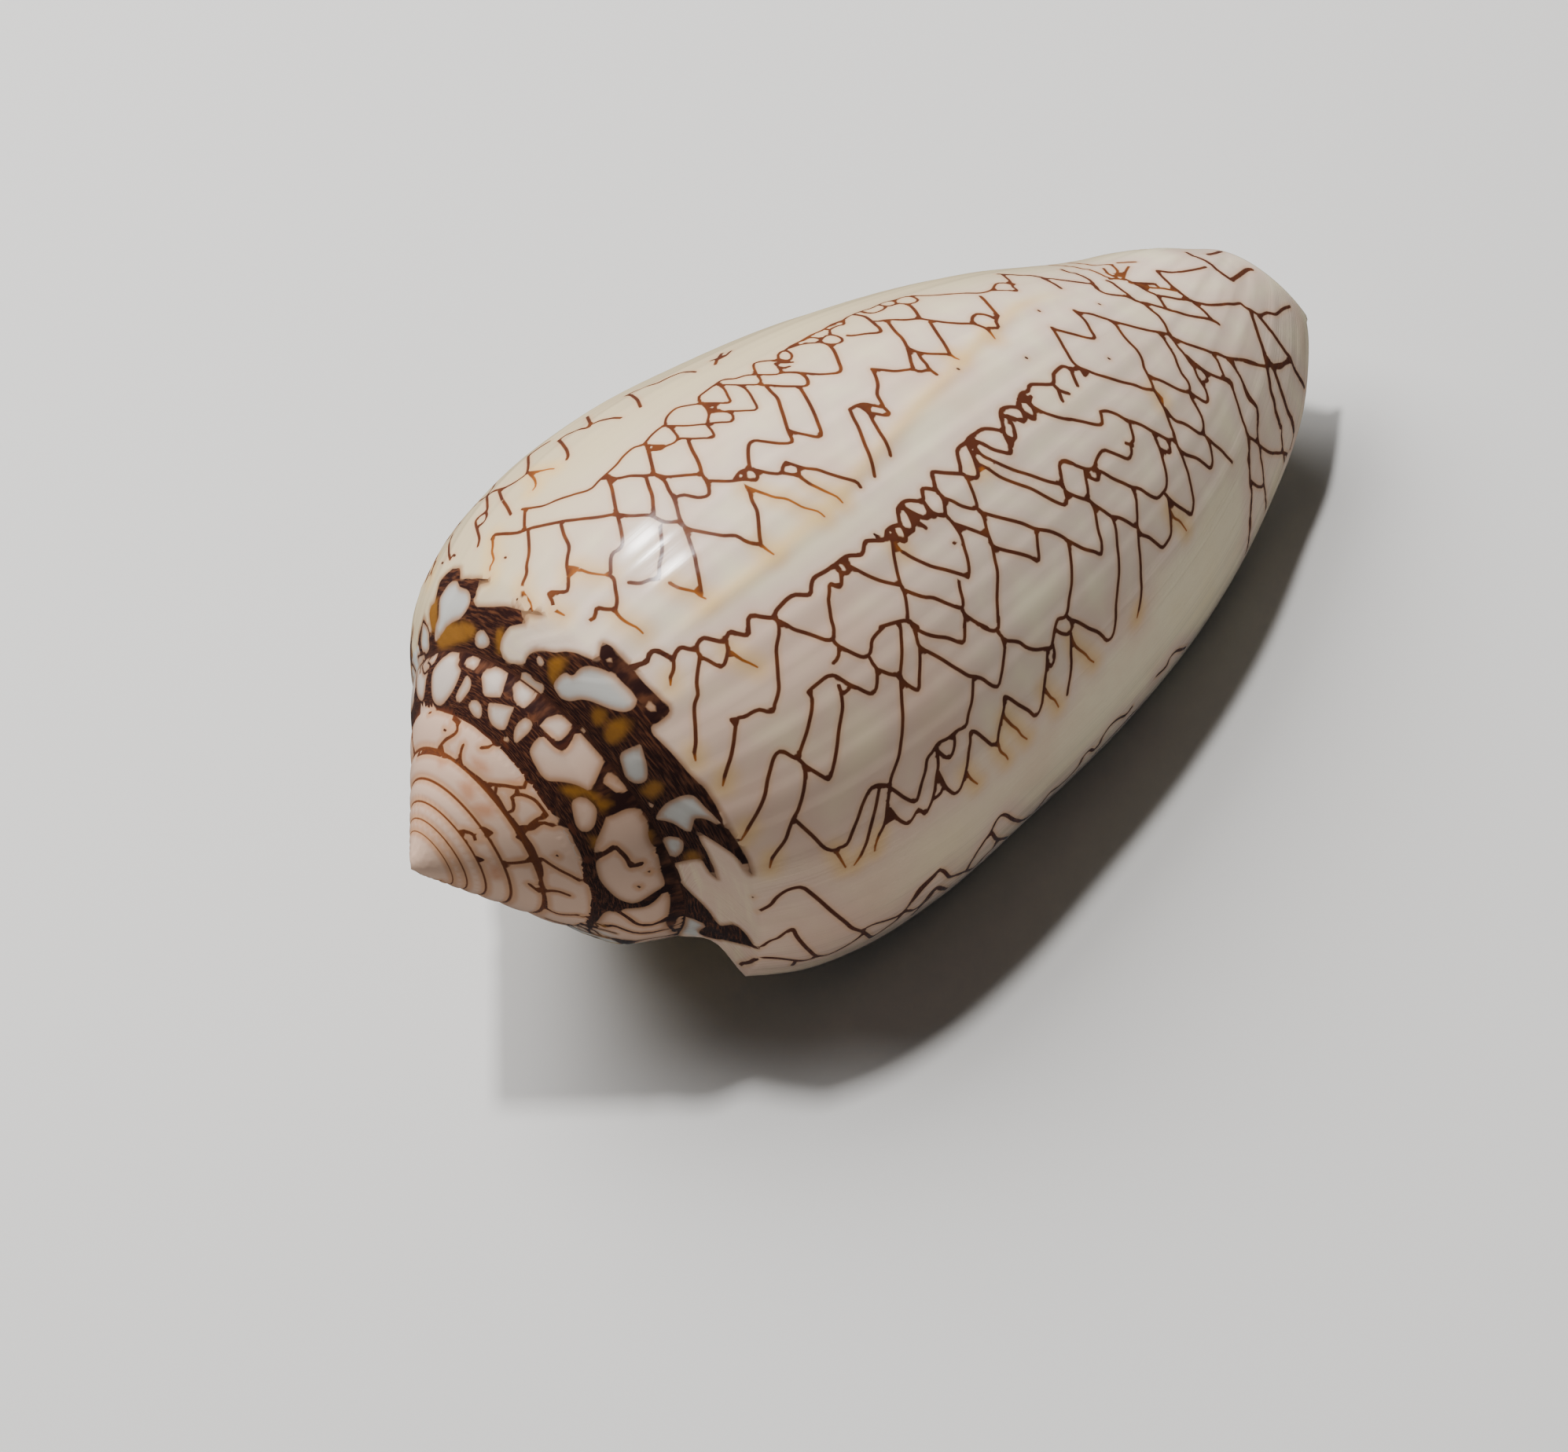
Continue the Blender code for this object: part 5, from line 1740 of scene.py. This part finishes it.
def tinted(nodes, base, tints):
    """A colour with others laid over it, each by its share."""
    for share, shade in tints:
        base = nodes.mix(share, base, colour(*shade))
    return base


def pale_ground(nodes, growth, level):
    """Pale cells and stripes of the last whorl, and the flesh colour of the spire."""
    broad = nodes.noise(growth, level, BROAD_NOISE)
    cool = nodes.product(nodes.ranged(growth, *COOL_START), nodes.ranged(growth, *COOL_END))
    flesh = tinted(nodes, colour(*FLESH_COLOUR), (
        (nodes.product(nodes.attribute("stain"), STAIN_STRENGTH), STAIN_COLOUR),
        (cool, RAMP_COLOUR),
    ))
    rosy = nodes.product(nodes.ranged(level, *ROSY_LEVELS), nodes.ranged(growth, *ROSY_GROWTH))
    pale = tinted(nodes, colour(*CELL_COLOUR), (
        (nodes.ranged(nodes.attribute("away"), *STRIPE_RANGE), STRIPE_COLOUR),
        (rosy, BLUSH_COLOUR),
        (nodes.ranged(broad, *BLUSH_RANGE), BLUSH_COLOUR),
        (nodes.ranged(broad, *CREAM_RANGE), CREAM_COLOUR),
        (nodes.ranged(growth, *EARLY_GROWTH_RANGE), EARLY_COLOUR),
        (nodes.ranged(nodes.attribute("fringe"), *GLOW_RANGE), GLOW_COLOUR),
        (nodes.product(nodes.attribute("ridge"), RIDGE_GLOW), GLOW_COLOUR),
        (nodes.attribute("ramp"), RAMP_COLOUR),
    ))
    return nodes.mix(nodes.attribute("flesh"), pale, flesh)


def line_sides(nodes, pale, line, tone):
    """Painted shade in the cells of the band, darker towards their edges, and warm colour on both sides of
    each line.
    """
    on_spire = nodes.product(nodes.attribute("flesh"), nodes.ranged(tone, *OFF_BAND_TONES))
    on_band = nodes.ranged(tone, *ON_BAND_TONES)
    return tinted(nodes, pale, (
        # Painted shade in the band's cells
        (nodes.attribute("hollow"), PAINTED_SHADE_COLOUR),
        (nodes.product(nodes.ranged(line, *SPIRE_SIDE_RANGE), on_spire), SPIRE_SIDE_COLOUR),
        (nodes.ranged(line, *SIDE_RANGE), SIDE_COLOUR),
        (nodes.product(nodes.ranged(line, *RIM_RANGE), on_band), RIM_COLOUR),
    ))


def dark_lines(nodes, growth, level, tone):
    """Brown lines with orange ends, and the dark band with its golden patches."""
    fine = nodes.noise(growth, level, FINE_NOISE)
    uneven = nodes.maths("ADD", tone, nodes.ranged(fine, *UNEVEN_RANGE))
    lines = tinted(nodes, colour(*LINE_COLOUR), ((nodes.ranged(uneven, 0.0, END_TONE), END_COLOUR),))
    band = tinted(nodes, colour(*BAND_COLOUR),
                  ((nodes.ranged(fine, *BAND_LIGHT_RANGE), BAND_LIGHT_COLOUR),))
    dark = nodes.mix(nodes.ranged(tone, 0.0, BLACK_TONE), lines, band)
    gold = nodes.product(nodes.attribute("gold"), GOLD_STRENGTH)
    return tinted(nodes, dark, ((gold, GOLD_COLOUR),))


def shell_material():
    """Glossy shell, coloured by the distances stored on the mesh."""
    nodes = Nodes("shell")
    line, tone = nodes.attribute("line"), nodes.attribute("tone")
    growth, level = nodes.attribute("growth"), nodes.attribute("level")
    pale = line_sides(nodes, pale_ground(nodes, growth, level), line, tone)
    dark = dark_lines(nodes, growth, level, tone)
    skin = nodes.mix(nodes.ranged(line, LINE_SOFTNESS, -LINE_SOFTNESS), pale, dark)
    skin = tinted(nodes, skin, ((nodes.attribute("inside"), INSIDE_COLOUR),))
    shader = nodes.shader
    nodes.put(shader.inputs["Base Color"], skin)
    shader.inputs["Roughness"].default_value = ROUGHNESS
    shader.inputs["Specular IOR Level"].default_value = SPECULAR_LEVEL
    nodes.put(shader.inputs["Normal"], striations(nodes, growth, level))
    return nodes.material


def striations(nodes, growth, level):
    """Fine lines of growth, strongest on the last pale stripe before the lip."""
    bump = nodes.tree.nodes.new("ShaderNodeBump")
    bump.inputs["Distance"].default_value = STRIATION_DEPTH
    nodes.put(bump.inputs["Strength"], nodes.ranged(growth, *STRIATION_RANGE))
    nodes.put(bump.inputs["Height"], nodes.noise(growth, level, STRIATION_NOISE))
    return bump.outputs["Normal"]


def dim_world():
    """Weak even light from all sides."""
    world = bpy.data.worlds.new("room")
    world.use_nodes = True
    background = world.node_tree.nodes["Background"]
    background.inputs["Color"].default_value = (*WORLD_COLOUR, 1.0)
    background.inputs["Strength"].default_value = WORLD_STRENGTH
    bpy.context.scene.world = world


def add_floor():
    """The pale ground that the shell lies on; it doesn't show in the gloss."""
    bpy.ops.mesh.primitive_plane_add(size=FLOOR_SIZE)
    floor = bpy.context.object
    floor.name = "floor"
    material = bpy.data.materials.new("floor")
    material.use_nodes = True
    shader = material.node_tree.nodes["Principled BSDF"]
    shader.inputs["Base Color"].default_value = (*FLOOR_COLOUR, 1.0)
    shader.inputs["Roughness"].default_value = FLOOR_ROUGHNESS
    floor.data.materials.append(material)
    floor.visible_glossy = False
    return floor


def add_light(name, place, target, size, power, mirrored):
    """A lamp with a rectangular face that points at the target."""
    lamp = bpy.data.lights.new(name, "AREA")
    lamp.shape = "RECTANGLE"
    lamp.size, lamp.size_y = size
    lamp.energy = power
    light = bpy.data.objects.new(name, lamp)
    bpy.context.scene.collection.objects.link(light)
    light.location = place
    light.rotation_euler = (Vector(target) - Vector(place)).to_track_quat("-Z", "Y").to_euler()
    light.visible_glossy = mirrored


def camera_frame():
    """Directions of the picture in the coil's own axes: right, up and towards the camera."""
    side = np.array((0.0, np.cos(CAMERA_AROUND), np.sin(CAMERA_AROUND)))
    axis = np.array((1.0, 0.0, 0.0))
    growth = np.cross(axis, side)
    up = np.cos(CAMERA_TILT) * axis + np.sin(CAMERA_TILT) * side
    towards = np.cos(CAMERA_TILT) * side - np.sin(CAMERA_TILT) * axis
    along = np.cos(CAMERA_ROLL) * up - np.sin(CAMERA_ROLL) * growth
    down = np.sin(CAMERA_ROLL) * up + np.cos(CAMERA_ROLL) * growth
    right = np.cos(PICTURE_TURN) * along + np.sin(PICTURE_TURN) * down
    top = np.sin(PICTURE_TURN) * along - np.cos(PICTURE_TURN) * down
    return right, top, towards


def add_camera():
    """The camera, shifted so that its picture is framed as planned."""
    right, top, towards = camera_frame()
    place = np.array((CAMERA_AIM, 0.0, 0.0)) + CAMERA_DISTANCE * towards
    lens = bpy.data.cameras.new("camera")
    lens.sensor_width = SENSOR
    lens.lens = SENSOR * FOCAL_PIXELS / PICTURE_WIDTH
    lens.shift_x = (PICTURE_WIDTH / 2 - AIM_PIXEL[0]) / PICTURE_WIDTH
    lens.shift_y = (AIM_PIXEL[1] - PICTURE_HEIGHT / 2) / PICTURE_WIDTH
    camera = bpy.data.objects.new("camera", lens)
    bpy.context.scene.collection.objects.link(camera)
    own = np.eye(4)
    own[:3] = np.stack((right, top, towards, place), 1)
    camera.matrix_world = rest_frame() @ Matrix(own.tolist())
    bpy.context.scene.camera = camera


drawn = cast_pattern()
surface = Surface()
lip_rows, ramp_rows = add_outside(surface, *line_points(drawn))
add_mouth(surface, lip_rows, ramp_rows)
data = welded(surface)
shell = shell_object(data, paint_surface(data, drawn))
shell.data.materials.append(shell_material())
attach(shell, "root")
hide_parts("shell")

add_floor()
dim_world()
for name, lamp in LAMPS.items():
    add_light(name, *lamp)
add_camera()
